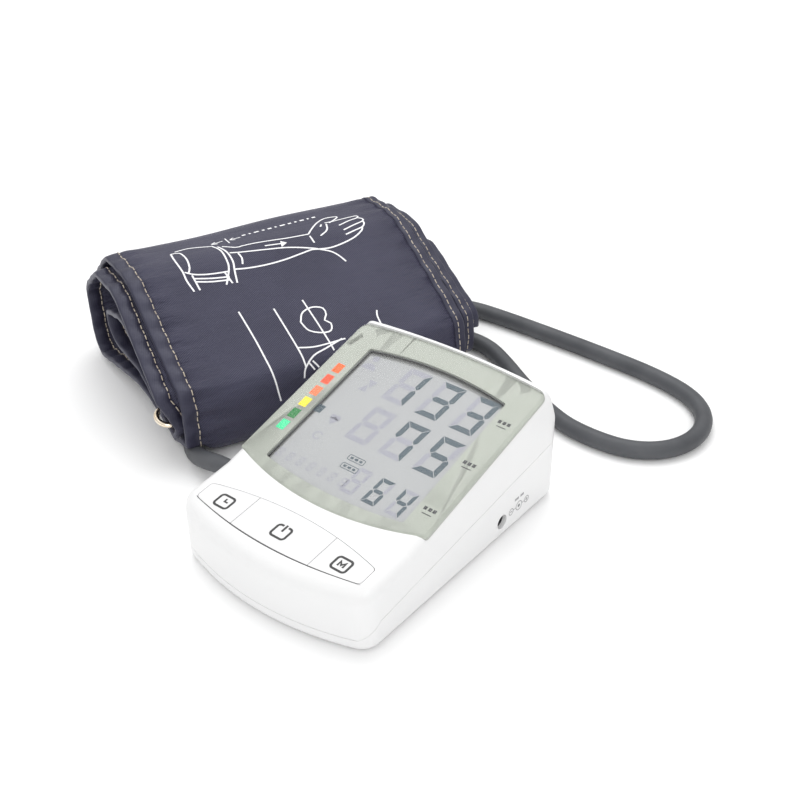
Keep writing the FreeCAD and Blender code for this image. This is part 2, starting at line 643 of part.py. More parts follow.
def pierced_rod(radius, bore, start, axis, length):
    body = Part.makeCylinder(radius, length, start, axis)
    return body.cut(Part.makeCylinder(bore, length, start, axis))


# ---------------------------------------------------------------- cuff
#
# Cuff frame: x along the roll from its left end, y away from its front, z up.  The roll is a
# flattened tube that lies on the table on its front and rear edges and arches over the hose.

OUTER_TURN = [(-9.0, -5.8, 14.0), (-6.5, 40.0, 14.0), (66.0, 75.0, 40.0), (104.0, 72.0, 25.0),
              (137.0, 46.0, 22.0), (134.0, -5.7, 20.0), (55.0, 16.0, 60.0)]
INNER_TURN = [(-1.5, 8.5, 9.0), (0.5, 37.5, 10.0), (67.0, 69.0, 34.0), (102.0, 66.0, 20.0),
              (130.0, 43.5, 16.0), (128.0, 3.0, 14.0), (55.0, 23.0, 60.0)]
INNER_FLAP = [(8.0, 24.0, 0.0), (8.0, 33.5, 7.0), (62.0, 56.0, 26.0), (98.0, 45.0, 8.0),
              (86.0, 25.0, 10.0), (62.0, 27.0, 0.0)]
HOOK_PATCH = [(12.0, 48.93, 0.0), (66.0, 75.0, 40.0), (92.0, 72.95, 0.0)]
HOOK_GAP = 0.15

# The metal ring at the end of the cuff: its left end, its tilt, its size and its wire radius.
RING_SPOT = Vector(-17.0, 16.0, 18.6)
RING_TILT = 14.4
RING_ACROSS, RING_ALONG, RING_WIRE = 13.0, 120.0, 1.5


# The hose's middle line from the plug, under the cuff's lower front edge, through the arch below
# the roll and round in a wide loop to the port.  FLOOR is its height on the table.
FLOOR = 4.8
HOSE_ROUTE = [
    (-71.45, 9.0, 11.4), (-81.0, 9.0, 11.4), (-91.3, 8.9, 9.2), (-100.5, 11.2, 6.9),
    (-108.8, 16.1, 5.0), (-117.5, 23.9, FLOOR), (-123.2, 33.2, FLOOR), (-126.9, 46.8, FLOOR),
    (-129.1, 64.6, FLOOR), (-128.6, 83.6, FLOOR), (-124.6, 102.2, FLOOR), (-117.7, 120.4, FLOOR),
    (-102.3, 154.0, FLOOR), (-90.2, 175.9, FLOOR), (-77.8, 187.5, FLOOR), (-61.7, 193.0, FLOOR),
    (-44.8, 191.4, FLOOR), (-27.6, 182.4, FLOOR), (-9.6, 171.0, FLOOR), (25.3, 152.2, FLOOR),
    (48.0, 149.2, FLOOR), (69.2, 151.6, FLOOR), (85.5, 163.8, FLOOR), (92.0, 182.5, FLOOR),
    (87.5, 201.8, FLOOR), (72.3, 216.0, FLOOR), (47.0, 222.6, FLOOR), (12.0, 224.4, FLOOR),
    (-24.6, 225.0, FLOOR), (-55.0, 224.9, FLOOR), (-78.1, 223.8, FLOOR), (-91.0, 218.4, FLOOR),
    (-100.9, 208.6, 5.2), (-106.0, 197.0, 5.6),
]
# Round the hose the layers of the roll lift, over the first bends of its route.
TUNNEL_RADIUS = 5.6
TUNNEL_LEGS = 9


def cross_section(corners, depth, closed):
    """Curves of a rounded polygon drawn inward by depth, in the cuff's cross-section plane."""
    count = len(corners)
    spots = [Vector(0, y, z) for y, z, _ in corners]
    legs = count if closed else count - 1
    heads = [(spots[(i + 1) % count] - spots[i]).normalize() for i in range(legs)]
    inward = [Vector(0, head.z, -head.y) for head in heads]
    if not closed:
        start, finish = spots[0] + inward[0] * depth, spots[-1] + inward[-1] * depth
    curves, last = [], None if closed else start
    for i in range(0 if closed else 1, count if closed else count - 1):
        before, after = heads[i - 1], heads[i]
        turn = before.getAngle(after)
        convex = before.cross(after).x < 0
        corner = spots[i] + (inward[i - 1] + inward[i]).normalize() * (depth / math.cos(turn / 2))
        radius = corners[i][2] - depth if convex else corners[i][2] + depth
        reach = radius * math.tan(turn / 2)
        first, end = corner - before * reach, corner + after * reach
        inside = (after - before).normalize() * (radius / math.cos(turn / 2) - radius)
        if last is not None:
            curves.append(Part.LineSegment(last, first))
        else:
            opening = first
        curves.append(Part.Arc(first, corner + inside, end))
        last = end
    curves.append(Part.LineSegment(last, opening if closed else finish))
    return curves


def turn_band(corners, near, far, left, right):
    """One layer of the roll, between two depths under its outer face."""
    faces = [Part.Face(wire_of(cross_section(corners, depth, True))) for depth in (near, far)]
    band = faces[0].cut(faces[1]).extrude(Vector(right - left, 0, 0))
    return moved(band, Placement(Vector(left, 0, 0), Rotation()))


def open_band(corners, near, far, left, right):
    """A layer with two free ends."""
    skins = [cross_section(corners, depth, False) for depth in (near, far)]
    ends = [Part.LineSegment(skins[0][end].toShape().Vertexes[-1 if end else 0].Point,
                             skins[1][end].toShape().Vertexes[-1 if end else 0].Point) for end in (0, -1)]
    edges = [curve.toShape() for curve in skins[0] + skins[1] + ends]
    band = Part.Face(Part.Wire(Part.__sortEdges__(edges))).extrude(Vector(right - left, 0, 0))
    return moved(band, Placement(Vector(left, 0, 0), Rotation()))


def hose_tunnel():
    """The space the hose takes under the roll's lower front edge, in the cuff's own frame."""
    points = [Vector(*point) for point in HOSE_ROUTE[:TUNNEL_LEGS]]
    middle = wire_of(leg_arcs(points)[0])
    ring = Part.Wire(Part.makeCircle(TUNNEL_RADIUS, points[0], points[1] - points[0]))
    place = Placement(Vector(size("cuff_x"), size("cuff_y"), 0),
                      Rotation(Vector(0, 0, 1), size("cuff_turn")))
    return moved(middle.makePipeShell([ring], True, False), place.inverse())


def cuff_part(label, shape):
    return shaped(label, shape, ("cuff_x", "cuff_y", "0"), Vector(0, 0, 1), "cuff_turn")


def make_cuff():
    left, right, inset = size("outer_turn_left"), size("outer_turn_right"), size("bladder_inset")
    fabric, bladder, gap = size("fabric_thick"), size("bladder_thick"), size("layer_gap")
    near = fabric + gap
    far = near + bladder
    lining_far = far + gap + fabric
    tunnel = hose_tunnel()
    bladder_band = turn_band(OUTER_TURN, near, far, left + inset, right - inset)
    cuff_part("cuff_shell", turn_band(OUTER_TURN, 0.0, fabric, left, right).cut(tunnel))
    cuff_part("cuff_bladder", bladder_band.cut(tunnel))
    cuff_part("cuff_lining", turn_band(OUTER_TURN, far + gap, lining_far, left, right).cut(tunnel))
    inner_left, inner_right = size("inner_turn_left"), size("inner_turn_right")
    inner_band = turn_band(INNER_TURN, 0.0, size("inner_turn_thick"), inner_left, inner_right)
    cuff_part("cuff_inner_turn", inner_band.cut(tunnel))
    cuff_part("cuff_end_flap",
              open_band(INNER_FLAP, 0.0, size("flap_thick"), size("flap_left"), size("flap_right")))
    hook_near = lining_far + HOOK_GAP
    cuff_part("cuff_hook_patch",
              open_band(HOOK_PATCH, hook_near, hook_near + size("hook_thick"),
                        left + size("hook_inset"), right - size("hook_inset")))
    place = Placement(RING_SPOT, Rotation(Vector(1, 0, 0), RING_TILT))
    cuff_part("cuff_ring", moved(metal_loop(RING_ACROSS, RING_ALONG, RING_WIRE), place))
    cuff_part("cuff_port", port_shape())


def metal_loop(across, along, wire_radius):
    """A long flat wire ring with half-round ends, lying in its own x-y plane from x = 0."""
    half = across / 2
    a, b = Vector(half, -half, 0), Vector(along - half, -half, 0)
    c, d = Vector(along - half, half, 0), Vector(half, half, 0)
    curves = [Part.LineSegment(a, b), Part.Arc(b, Vector(along, 0, 0), c), Part.LineSegment(c, d),
              Part.Arc(d, Vector(0, 0, 0), a)]
    ring = Part.Wire(Part.makeCircle(wire_radius, a, Vector(1, 0, 0)))
    return wire_of(curves).makePipeShell([ring], True, False)


def port_shape():
    """The barbed elbow under the shell: a flange, a short stub and a level nozzle."""
    spot = Vector(148.0, 70.0, 0)
    slope = math.degrees(math.atan2(-20.0, 79.0))
    flange = Part.makeCylinder(8.0, 1.4, Vector(0, 0, -1.7))
    flange.Placement = Placement(Vector(spot.x, spot.y, 11.4), Rotation(Vector(1, 0, 0), slope))
    stub = upright(4.0, spot.x, spot.y, 3.6, 10.0)
    nozzle = Part.makeCylinder(3.6, PORT_END[0] - spot.x, Vector(spot.x, spot.y, 5.6), Vector(1, 0, 0))
    bore = Part.makeCylinder(1.6, 30.0, Vector(spot.x, spot.y, 5.6), Vector(1, 0, 0))
    return flange.fuse([stub, nozzle]).cut(bore)


# ---------------------------------------------------------------- hose and plug
#
# The hose leaves the plug on the left side, turns under the cuff and runs below it to the right
# end, makes one wide loop behind the case and comes back to the cuff's port.

PORT_END = (163.0, 70.0)
def make_hose():
    points = [Vector(*point) for point in HOSE_ROUTE]
    hose = tube_along(points, size("hose_radius"), size("hose_bore"), "hose")
    shaped("hose", hose)
    y, z, face = size("socket_y"), size("socket_z"), -size("case_width") / 2
    start = face - size("plug_gap")
    grip = Part.makeCylinder(size("plug_radius"), size("plug_length"), Vector(start, y, z), Vector(-1, 0, 0))
    grip = grip.makeFillet(1.5, [edge for edge in grip.Edges if edge.BoundBox.XMax < start - 1.0])
    for ring in range(4):
        groove = Part.makeTorus(size("plug_radius") + 0.3, 0.7, Vector(start - 4.0 - 2.8 * ring, y, z), Vector(1, 0, 0))
        grip = grip.cut(groove)
    spigot = Part.makeCylinder(size("plug_spigot_radius"), size("plug_spigot_length") + 2.0,
                               Vector(start - 2.0, y, z), Vector(1, 0, 0))
    shaped("air_plug", grip.fuse(spigot))


def check_and_write():
    doc.recompute()
    os.makedirs("parts", exist_ok=True)
    for item in doc.Objects:
        if "Invalid" in item.State or "Error" in item.State:
            raise RuntimeError(item.Name + " did not recompute")
    for item in subparts:
        if item.Shape.isNull() or not item.Shape.isValid():
            raise RuntimeError(item.Label + " has no valid shape")
    for item in subparts:
        item.Shape.exportStep("parts/%s.step" % item.Label)
    print("sub-parts:", len(subparts))


make_case()
make_keys()
make_display()
make_power()
make_air_path()
make_cuff()
make_hose()
check_and_write()
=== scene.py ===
"""Looks of the upper arm blood pressure monitor, its rolled cuff and its hose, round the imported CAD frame."""

import math

import bpy
import numpy as np
from mathutils import Matrix, Vector


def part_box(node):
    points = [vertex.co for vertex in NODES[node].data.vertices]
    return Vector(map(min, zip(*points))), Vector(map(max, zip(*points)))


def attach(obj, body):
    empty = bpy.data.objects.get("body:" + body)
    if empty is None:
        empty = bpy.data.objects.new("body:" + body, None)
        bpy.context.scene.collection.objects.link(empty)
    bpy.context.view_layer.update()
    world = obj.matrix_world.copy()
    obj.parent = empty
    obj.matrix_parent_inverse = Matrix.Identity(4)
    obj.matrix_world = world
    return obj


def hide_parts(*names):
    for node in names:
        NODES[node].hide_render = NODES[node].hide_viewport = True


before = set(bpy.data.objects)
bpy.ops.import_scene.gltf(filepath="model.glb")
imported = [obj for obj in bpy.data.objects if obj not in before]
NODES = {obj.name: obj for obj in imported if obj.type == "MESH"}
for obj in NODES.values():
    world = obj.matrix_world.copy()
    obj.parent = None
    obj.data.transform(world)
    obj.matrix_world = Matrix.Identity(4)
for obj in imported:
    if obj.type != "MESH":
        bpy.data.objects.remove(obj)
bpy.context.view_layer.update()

MM = 0.001

# ---------------------------------------------------------------- places
#
# The case frame has its origin on the table, under the middle of the front of the display; the
# cuff frame has x along the roll from its left stitch line and y away from the roll's front.

case_low, case_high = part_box("top_case")
CASE_MID_X = (case_low.x + case_high.x) / 2
CASE_REAR_Y = case_high.y
CASE_REAR_MM = 109.0
CASE = Vector((CASE_MID_X, CASE_REAR_Y - CASE_REAR_MM * MM, 0))
DISPLAY_SLOPE = math.radians(15.15)
DISPLAY_Z = 40.1
CUFF_X, CUFF_Y = -105.3, 19.5
CUFF_TURN = math.radians(67.0)


def in_case(x, y, z):
    """A point of the case frame, in millimetres, as a point of the row frame in metres."""
    return CASE + Vector((x, y, z)) * MM


def display_frame(depth):
    """The plane that lies depth millimetres under the display: u across, v up the slope."""
    return (Matrix.Translation(in_case(0, 0, DISPLAY_Z)) @ Matrix.Rotation(DISPLAY_SLOPE, 4, "X")
            @ Matrix.Translation(Vector((0, 0, -depth * MM))))


# ---------------------------------------------------------------- material helpers

class Shader:
    """A material under construction: its nodes, its links and its Principled shader."""

    def __init__(self, name, color, rough, **sockets):
        self.material = bpy.data.materials.new(name)
        self.material.use_nodes = True
        self.tree = self.material.node_tree
        self.main = self.tree.nodes["Principled BSDF"]
        self.main.inputs["Base Color"].default_value = (*color, 1)
        self.main.inputs["Roughness"].default_value = rough
        for socket, value in sockets.items():
            self.main.inputs[socket.replace("_", " ")].default_value = value

    def node(self, kind, **sockets):
        made = self.tree.nodes.new(kind)
        for socket, value in sockets.items():
            self.feed(made, socket.replace("_", " "), value)
        return made

    def feed(self, node, socket, value):
        """Sets a socket to a value, or links it to another node's output socket."""
        if isinstance(value, bpy.types.NodeSocket):
            self.tree.links.new(value, node.inputs[socket])
        else:
            node.inputs[socket].default_value = value

    def math(self, operation, a, b=0.0):
        made = self.node("ShaderNodeMath")
        made.operation = operation
        self.feed(made, 0, a)
        self.feed(made, 1, b)
        return made.outputs[0]

    def object_place(self):
        return self.node("ShaderNodeTexCoord").outputs["Object"]

    def attribute(self, name):
        made = self.node("ShaderNodeAttribute")
        made.attribute_name = name
        return made.outputs["Vector"]

    def noise(self, place, scale, detail=3.0, rough=0.55):
        made = self.node("ShaderNodeTexNoise", Vector=place, Scale=scale, Detail=detail, Roughness=rough)
        return made.outputs["Fac"]

    def ramp(self, value, low, high, dark, light):
        """dark where value is low, light where it is high, as colours or as single numbers."""
        made = self.node("ShaderNodeMapRange", Value=value)
        for index, number in enumerate((low, high), start=1):
            made.inputs[index].default_value = number
        if isinstance(dark, tuple):
            mix = self.node("ShaderNodeMix")
            mix.data_type = "RGBA"
            self.tree.links.new(made.outputs[0], mix.inputs[0])
            mix.inputs[6].default_value = (*dark, 1)
            mix.inputs[7].default_value = (*light, 1)
            return mix.outputs[2]
        made.inputs[3].default_value, made.inputs[4].default_value = dark, light
        return made.outputs[0]

    def bump(self, height, distance, strength=1.0, before=None):
        made = self.node("ShaderNodeBump", Height=height, Distance=distance, Strength=strength)
        if before is not None:
            self.tree.links.new(before, made.inputs["Normal"])
        self.tree.links.new(made.outputs[0], self.main.inputs["Normal"])
        return made.outputs[0]

    def set(self, socket, value):
        self.feed(self.main, socket, value)


def moulded(name, light, dark, rough, grain=2600.0, **sockets):
    """Moulded plastic: a slight drift in colour and gloss, and a very fine spark-eroded grain."""
    s = Shader(name, light, rough, **sockets)
    place = s.object_place()
    s.set("Base Color", s.ramp(s.noise(place, 22.0), 0.3, 0.7, dark, light))
    s.set("Roughness", s.ramp(s.noise(place, 140.0, 4.0), 0.25, 0.75, rough - 0.05, rough + 0.06))
    s.bump(s.noise(place, grain, 2.0), 0.00003, 0.35)
    return s.material


def white_plastic():
    return moulded("white_plastic", (0.80, 0.80, 0.80), (0.785, 0.786, 0.788), 0.34, Coat_Weight=0.12)


def key_plastic():
    return moulded("key_plastic", (0.745, 0.745, 0.747), (0.73, 0.73, 0.733), 0.42)


def dark_plastic():
    return moulded("dark_plastic", (0.030, 0.030, 0.034), (0.022, 0.022, 0.025), 0.45)


def grey_plastic():
    return moulded("grey_plastic", (0.34, 0.35, 0.37), (0.30, 0.31, 0.33), 0.5)


def foot_rubber():
    return moulded("foot_rubber", (0.32, 0.32, 0.33), (0.26, 0.26, 0.27), 0.75, 900.0)


def silicone():
    return moulded("silicone", (0.72, 0.71, 0.68), (0.66, 0.65, 0.62), 0.5, Subsurface_Weight=0.1)


def circuit_board():
    s = Shader("circuit_board", (0.03, 0.20, 0.08), 0.35, Coat_Weight=0.5)
    place = s.object_place()
    cells = s.node("ShaderNodeTexVoronoi", Vector=place, Scale=420.0)
    cells.distance = "CHEBYCHEV"
    tracks = s.ramp(cells.outputs["Distance"], 0.45, 0.5, (0.02, 0.16, 0.06), (0.06, 0.30, 0.12))
    s.set("Base Color", tracks)
    s.bump(cells.outputs["Distance"], 0.00004, 0.5)
    return s.material


def steel():
    s = Shader("steel", (0.66, 0.66, 0.67), 0.28, Metallic=1.0)
    place = s.object_place()
    s.set("Roughness", s.ramp(s.noise(place, 900.0, 4.0), 0.3, 0.7, 0.21, 0.38))
    s.bump(s.noise(place, 1500.0), 0.00002, 0.3)
    return s.material


def ring_metal():
    s = Shader("ring_metal", (0.93, 0.80, 0.60), 0.13, Metallic=1.0)
    place = s.object_place()
    s.set("Base Color", s.ramp(s.noise(place, 90.0), 0.35, 0.65, (0.86, 0.70, 0.50), (0.95, 0.86, 0.72)))
    s.set("Roughness", s.ramp(s.noise(place, 700.0), 0.3, 0.7, 0.10, 0.22))
    return s.material


def cell_wrap():
    s = Shader("cell_wrap", (0.10, 0.16, 0.30), 0.3, Coat_Weight=0.6)
    split = s.node("ShaderNodeSeparateXYZ", Vector=s.node("ShaderNodeTexCoord").outputs["Generated"])
    s.set("Base Color", s.ramp(split.outputs["Y"], 0.30, 0.31, (0.06, 0.10, 0.22), (0.55, 0.56, 0.58)))
    return s.material


def hose_rubber():
    """Matt extruded rubber: dust in broad drifts and a fine grain."""
    s = Shader("hose_rubber", (0.070, 0.074, 0.082), 0.52, Specular_IOR_Level=0.45)
    place = s.object_place()
    dust = s.noise(place, 38.0, 5.0)
    s.set("Base Color", s.ramp(dust, 0.35, 0.7, (0.058, 0.061, 0.068), (0.086, 0.090, 0.098)))
    s.set("Roughness", s.ramp(s.noise(place, 160.0, 4.0), 0.3, 0.7, 0.46, 0.60))
    s.bump(s.noise(place, 1900.0, 3.0), 0.00005, 0.5)
    return s.material


def twill(name, light, dark, pitch=0.00105, rough=0.42, depth=0.00022):
    """Nylon twill: diagonal wales crossed by yarns, worked out from where the cloth point was cut."""
    s = Shader(name, light, rough, Sheen_Weight=0.05, Sheen_Roughness=0.4, Specular_IOR_Level=0.5)
    s.main.inputs["Sheen Tint"].default_value = (0.55, 0.56, 0.80, 1)
    s.main.inputs["Specular Tint"].default_value = (0.84, 0.86, 1.0, 1)
    cloth = s.attribute("cloth")
    split = s.node("ShaderNodeSeparateXYZ", Vector=cloth)
    turn = 2 * math.pi / pitch
    across, along = split.outputs["X"], split.outputs["Y"]
    wale = s.math("SINE", s.math("MULTIPLY", s.math("ADD", along, s.math("MULTIPLY", across, 0.62)), turn))
    yarn = s.math("SINE", s.math("MULTIPLY", s.math("SUBTRACT", across, s.math("MULTIPLY", along, 0.15)),
                                 turn * 1.35))
    weave = s.math("ADD", s.math("MULTIPLY", wale, 0.7), s.math("MULTIPLY", yarn, 0.3))
    drift = s.noise(cloth, 30.0, 4.0)
    worn = s.ramp(drift, 0.3, 0.7, -0.25, 0.25)
    s.set("Base Color", s.ramp(s.math("ADD", weave, worn), -1.0, 1.0, dark, light))
    s.set("Roughness", s.ramp(s.math("ADD", weave, drift), -1.0, 2.0, rough + 0.08, rough - 0.06))
    crumple = s.bump(s.noise(cloth, 130.0, 3.0), 0.0004, 0.25)
    stretched = s.node("ShaderNodeVectorMath", Vector=cloth)
    stretched.operation = "MULTIPLY"
    stretched.inputs[1].default_value = (32.0, 105.0, 1.0)
    tug = s.node("ShaderNodeAttribute")
    tug.attribute_name = "tug"
    folds = s.math("MULTIPLY", s.noise(stretched.outputs[0], 1.0, 4.0), tug.outputs["Fac"])
    creased = s.bump(folds, 0.011, 0.9, crumple)
    s.bump(weave, depth, 0.6, creased)
    return s.material


def cuff_nylon():
    return twill("cuff_nylon", (0.057, 0.055, 0.095), (0.013, 0.012, 0.026))


def binding_tape():
    return twill("binding_tape", (0.031, 0.030, 0.053), (0.018, 0.017, 0.033), 0.0007, 0.42, 0.00006)


def thread():
    s = Shader("thread", (0.52, 0.45, 0.35), 0.7, Sheen_Weight=0.3)
    place = s.object_place()
    s.set("Base Color", s.ramp(s.noise(place, 300.0), 0.35, 0.65, (0.36, 0.30, 0.24), (0.60, 0.53, 0.42)))
    s.bump(s.noise(place, 4000.0), 0.0001, 0.6)
    return s.material


def cuff_ink():
    """Screen print on cloth: nearly white, thin where the weave shows through."""
    s = Shader("cuff_ink", (0.86, 0.86, 0.88), 0.6)
    place = s.object_place()
    thin = s.noise(place, 1100.0, 2.0)
    s.set("Base Color", s.ramp(thin, 0.3, 0.45, (0.70, 0.70, 0.75), (0.90, 0.90, 0.91)))
    s.bump(s.noise(place, 1800.0), 0.0001, 0.4)
    return s.material


def ink(name, color):
    s = Shader(name, color, 0.45)
    place = s.object_place()
    shade = tuple(0.93 * c for c in color)
    s.set("Base Color", s.ramp(s.noise(place, 700.0), 0.35, 0.65, shade, color))
    return s.material


def lens_border():
    """The print under the lens: pale grey-green with a fine pearl grain."""
    s = Shader("lens_border", (0.41, 0.43, 0.39), 0.5)
    place = s.object_place()
    pearl = s.noise(place, 1500.0, 2.0)
    s.set("Base Color", s.ramp(pearl, 0.3, 0.7, (0.395, 0.412, 0.373), (0.425, 0.445, 0.405)))
    s.set("Roughness", s.ramp(s.noise(place, 500.0), 0.3, 0.7, 0.42, 0.55))
    s.set("Normal", s.node("ShaderNodeNewGeometry").outputs["True Normal"])
    return s.material


def lcd_glass():
    """The liquid crystal cell: grey, a little more violet where its coating is thicker."""
    s = Shader("lcd_glass", (0.55, 0.56, 0.59), 0.38)
    place = s.object_place()
    coating = s.noise(place, 26.0, 2.0)
    s.set("Base Color", s.ramp(coating, 0.35, 0.65, (0.375, 0.375, 0.402), (0.395, 0.396, 0.420)))
    s.bump(s.noise(place, 2500.0), 0.00002, 0.2)
    return s.material


LENS_REFLECTION = 0.45


def clear_lens():
    """Clear acrylic: it lets the light through and mirrors a little of the room, more at a slant."""
    s = Shader("clear_lens", (1, 1, 1), 0.05)
    surface = s.node("ShaderNodeNewGeometry")
    flat = surface.outputs["True Normal"]
    tree, shine = s.tree, s.node("ShaderNodeBsdfGlossy", Roughness=0.06, Normal=flat)
    clear = s.node("ShaderNodeBsdfTransparent", Color=(0.985, 0.99, 0.98, 1))
    fresnel = s.node("ShaderNodeFresnel", IOR=1.49, Normal=flat)
    inward = s.math("SUBTRACT", 1.0, surface.outputs["Backfacing"])
    hard_coat = s.math("MULTIPLY", inward, LENS_REFLECTION)
    mix = s.node("ShaderNodeMixShader", Fac=s.math("MULTIPLY", fresnel.outputs[0], hard_coat))
    tree.links.new(clear.outputs[0], mix.inputs[1])
    tree.links.new(shine.outputs[0], mix.inputs[2])
    tree.links.new(mix.outputs[0], tree.nodes["Material Output"].inputs["Surface"])
    tree.nodes.remove(s.main)
    return s.material


def paint(material, *names):
    """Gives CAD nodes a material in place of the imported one."""
    for name in names:
        NODES[name].data.materials.clear()
        NODES[name].data.materials.append(material)


# ---------------------------------------------------------------- mesh helpers

def make_mesh(name, points, faces, material, body, smooth=True):
    """A mesh piece in the row frame that rides on a body."""
    mesh = bpy.data.meshes.new(name)
    mesh.from_pydata([tuple(p) for p in points], [], faces)
    mesh.materials.append(material)
    if smooth:
        mesh.shade_smooth()
    piece = bpy.data.objects.new(name, mesh)
    bpy.context.scene.collection.objects.link(piece)
    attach(piece, body)
    return piece


class Print:
    """Thin flat shapes in a plane, gathered into one mesh."""

    def __init__(self, plane, thick=0.04):
        self.plane, self.thick = plane, thick * MM
        self.points, self.faces = [], []

    def polygon(self, outline):
        """A filled convex outline of (u, v) points in millimetres, counter-clockwise."""
        first, count = len(self.points), len(outline)
        for level in (0.0, self.thick):
            self.points += [self.plane @ Vector((u * MM, v * MM, level)) for u, v in outline]
        self.faces.append([first + count + i for i in range(count)])
        for i in range(count):
            j = (i + 1) % count
            self.faces.append([first + i, first + j, first + count + j, first + count + i])

    def stroke(self, line, width, closed=False):
        """A line of even width with mitred corners."""
        spots = [Vector(p) for p in line]
        count = len(spots)
        sides = []
        for i, spot in enumerate(spots):
            before = spots[i - 1] if (i or closed) else spot
            after = spots[(i + 1) % count] if (i < count - 1 or closed) else spot
            into = (spot - before).normalized() if before != spot else (after - spot).normalized()
            out = (after - spot).normalized() if after != spot else into
            middle = (into + out).normalized()
            across = Vector((-middle.y, middle.x)) / max(0.5, middle.dot(into))
            sides.append((spot + across * width / 2, spot - across * width / 2))
        for i in range(count if closed else count - 1):
            (l0, r0), (l1, r1) = sides[i], sides[(i + 1) % count]
            self.polygon([r0, r1, l1, l0])

    def disc(self, u, v, radius, count=20):
        self.polygon([(u + radius * math.cos(a), v + radius * math.sin(a)) for a in steps_round(count)])

    def build(self, name, material, body, slot):
        return make_mesh(name, self.points, self.faces, material, body, smooth=False)


def steps_round(count, start=0.0, sweep=2 * math.pi, closed=True):
    last = count if closed else count - 1
    return [start + sweep * i / last for i in range(count)]


def arc_line(u, v, radius, start, finish, count=16):
    """Points of an arc about (u, v), angles in degrees."""
    angles = steps_round(count, math.radians(start), math.radians(finish - start), closed=False)
    return [(u + radius * math.cos(a), v + radius * math.sin(a)) for a in angles]


def rounded_box(u, v, half_u, half_v, radius):
    """Outline of a rounded rectangle, counter-clockwise."""
    line = []
    for side_u, side_v, start in ((1, 1, 0), (-1, 1, 90), (-1, -1, 180), (1, -1, 270)):
        line += arc_line(u + side_u * (half_u - radius), v + side_v * (half_v - radius), radius,
                         start, start + 90, 6)
    return line


# ---------------------------------------------------------------- camera, light and floor

CAMERA_TARGET = in_case(-56.7, 122.2, 0)
CAMERA_AZIMUTH = math.radians(38.777)
CAMERA_ELEVATION = math.radians(33.541)
CAMERA_ROLL = math.radians(-0.596)
CAMERA_DISTANCE = 0.6767
LENS_MM = 55.22
TOP_LIGHT, FRONT_LIGHT = (-0.35, 0.45, 1.5), (0.9, -1.1, 1.1)
TOP_POWER, FRONT_POWER = 11.0, 6.0
TOP_SIZE, FRONT_SIZE = 1.3, 1.0
ROOM_LOW, ROOM_HIGH, ROOM_DIM, ROOM_BRIGHT = 0.0, 0.75, 0.58, 0.93
FLOOR_REACH = 6.0


def make_camera():
    az, el = CAMERA_AZIMUTH, CAMERA_ELEVATION
    back = Vector((math.sin(az) * math.cos(el), -math.cos(az) * math.cos(el), math.sin(el)))
    data = bpy.data.cameras.new("camera")
    data.lens, data.sensor_width = LENS_MM, 36.0
    camera = bpy.data.objects.new("camera", data)
    bpy.context.scene.collection.objects.link(camera)
    turn = (-back).to_track_quat("-Z", "Y").to_matrix() @ Matrix.Rotation(CAMERA_ROLL, 3, "Z")
    camera.matrix_world = Matrix.Translation(CAMERA_TARGET + back * CAMERA_DISTANCE) @ turn.to_4x4()
    bpy.context.scene.camera = camera


def soft_light(name, place, target, size, power):
    data = bpy.data.lights.new(name, "AREA")
    data.shape, data.size, data.energy = "DISK", size, power
    lamp = bpy.data.objects.new(name, data)
    lamp.location = place
    lamp.rotation_mode = "QUATERNION"
    lamp.rotation_quaternion = (Vector(target) - Vector(place)).to_track_quat("-Z", "Y")
    bpy.context.scene.collection.objects.link(lamp)


def make_studio():
    """A white floor under a broad soft light above and a weaker one in front, in a pale room."""
    world = bpy.data.worlds.new("studio")
    world.use_nodes = True
    tree = world.node_tree
    split = tree.nodes.new("ShaderNodeSeparateXYZ")
    tree.links.new(tree.nodes.new("ShaderNodeTexCoord").outputs["Generated"], split.inputs[0])
    height = tree.nodes.new("ShaderNodeMapRange")
    height.interpolation_type = "SMOOTHSTEP"
    for index, number in enumerate((ROOM_LOW, ROOM_HIGH, ROOM_DIM, ROOM_BRIGHT), start=1):
        height.inputs[index].default_value = number
    tree.links.new(split.outputs["Z"], height.inputs[0])
    tree.links.new(height.outputs[0], tree.nodes["Background"].inputs["Strength"])
    tree.nodes["Background"].inputs["Color"].default_value = (1, 1, 1, 1)
    bpy.context.scene.world = world
    soft_light("top_light", TOP_LIGHT, (0, 0, 0), TOP_SIZE, TOP_POWER)
    soft_light("front_light", FRONT_LIGHT, (0, 0, 0), FRONT_SIZE, FRONT_POWER)
    floor_material = Shader("floor", (0.96, 0.96, 0.96), 0.9)
    mesh = bpy.data.meshes.new("floor")
    signs = ((-1, -1), (1, -1), (1, 1), (-1, 1))
    mesh.from_pydata([(x * FLOOR_REACH, y * FLOOR_REACH, 0) for x, y in signs], [], [(0, 1, 2, 3)])
    mesh.materials.append(floor_material.material)
    floor = bpy.data.objects.new("floor", mesh)
    bpy.context.scene.collection.objects.link(floor)
    bpy.context.scene.view_settings.view_transform = "Standard"


# ---------------------------------------------------------------- hose

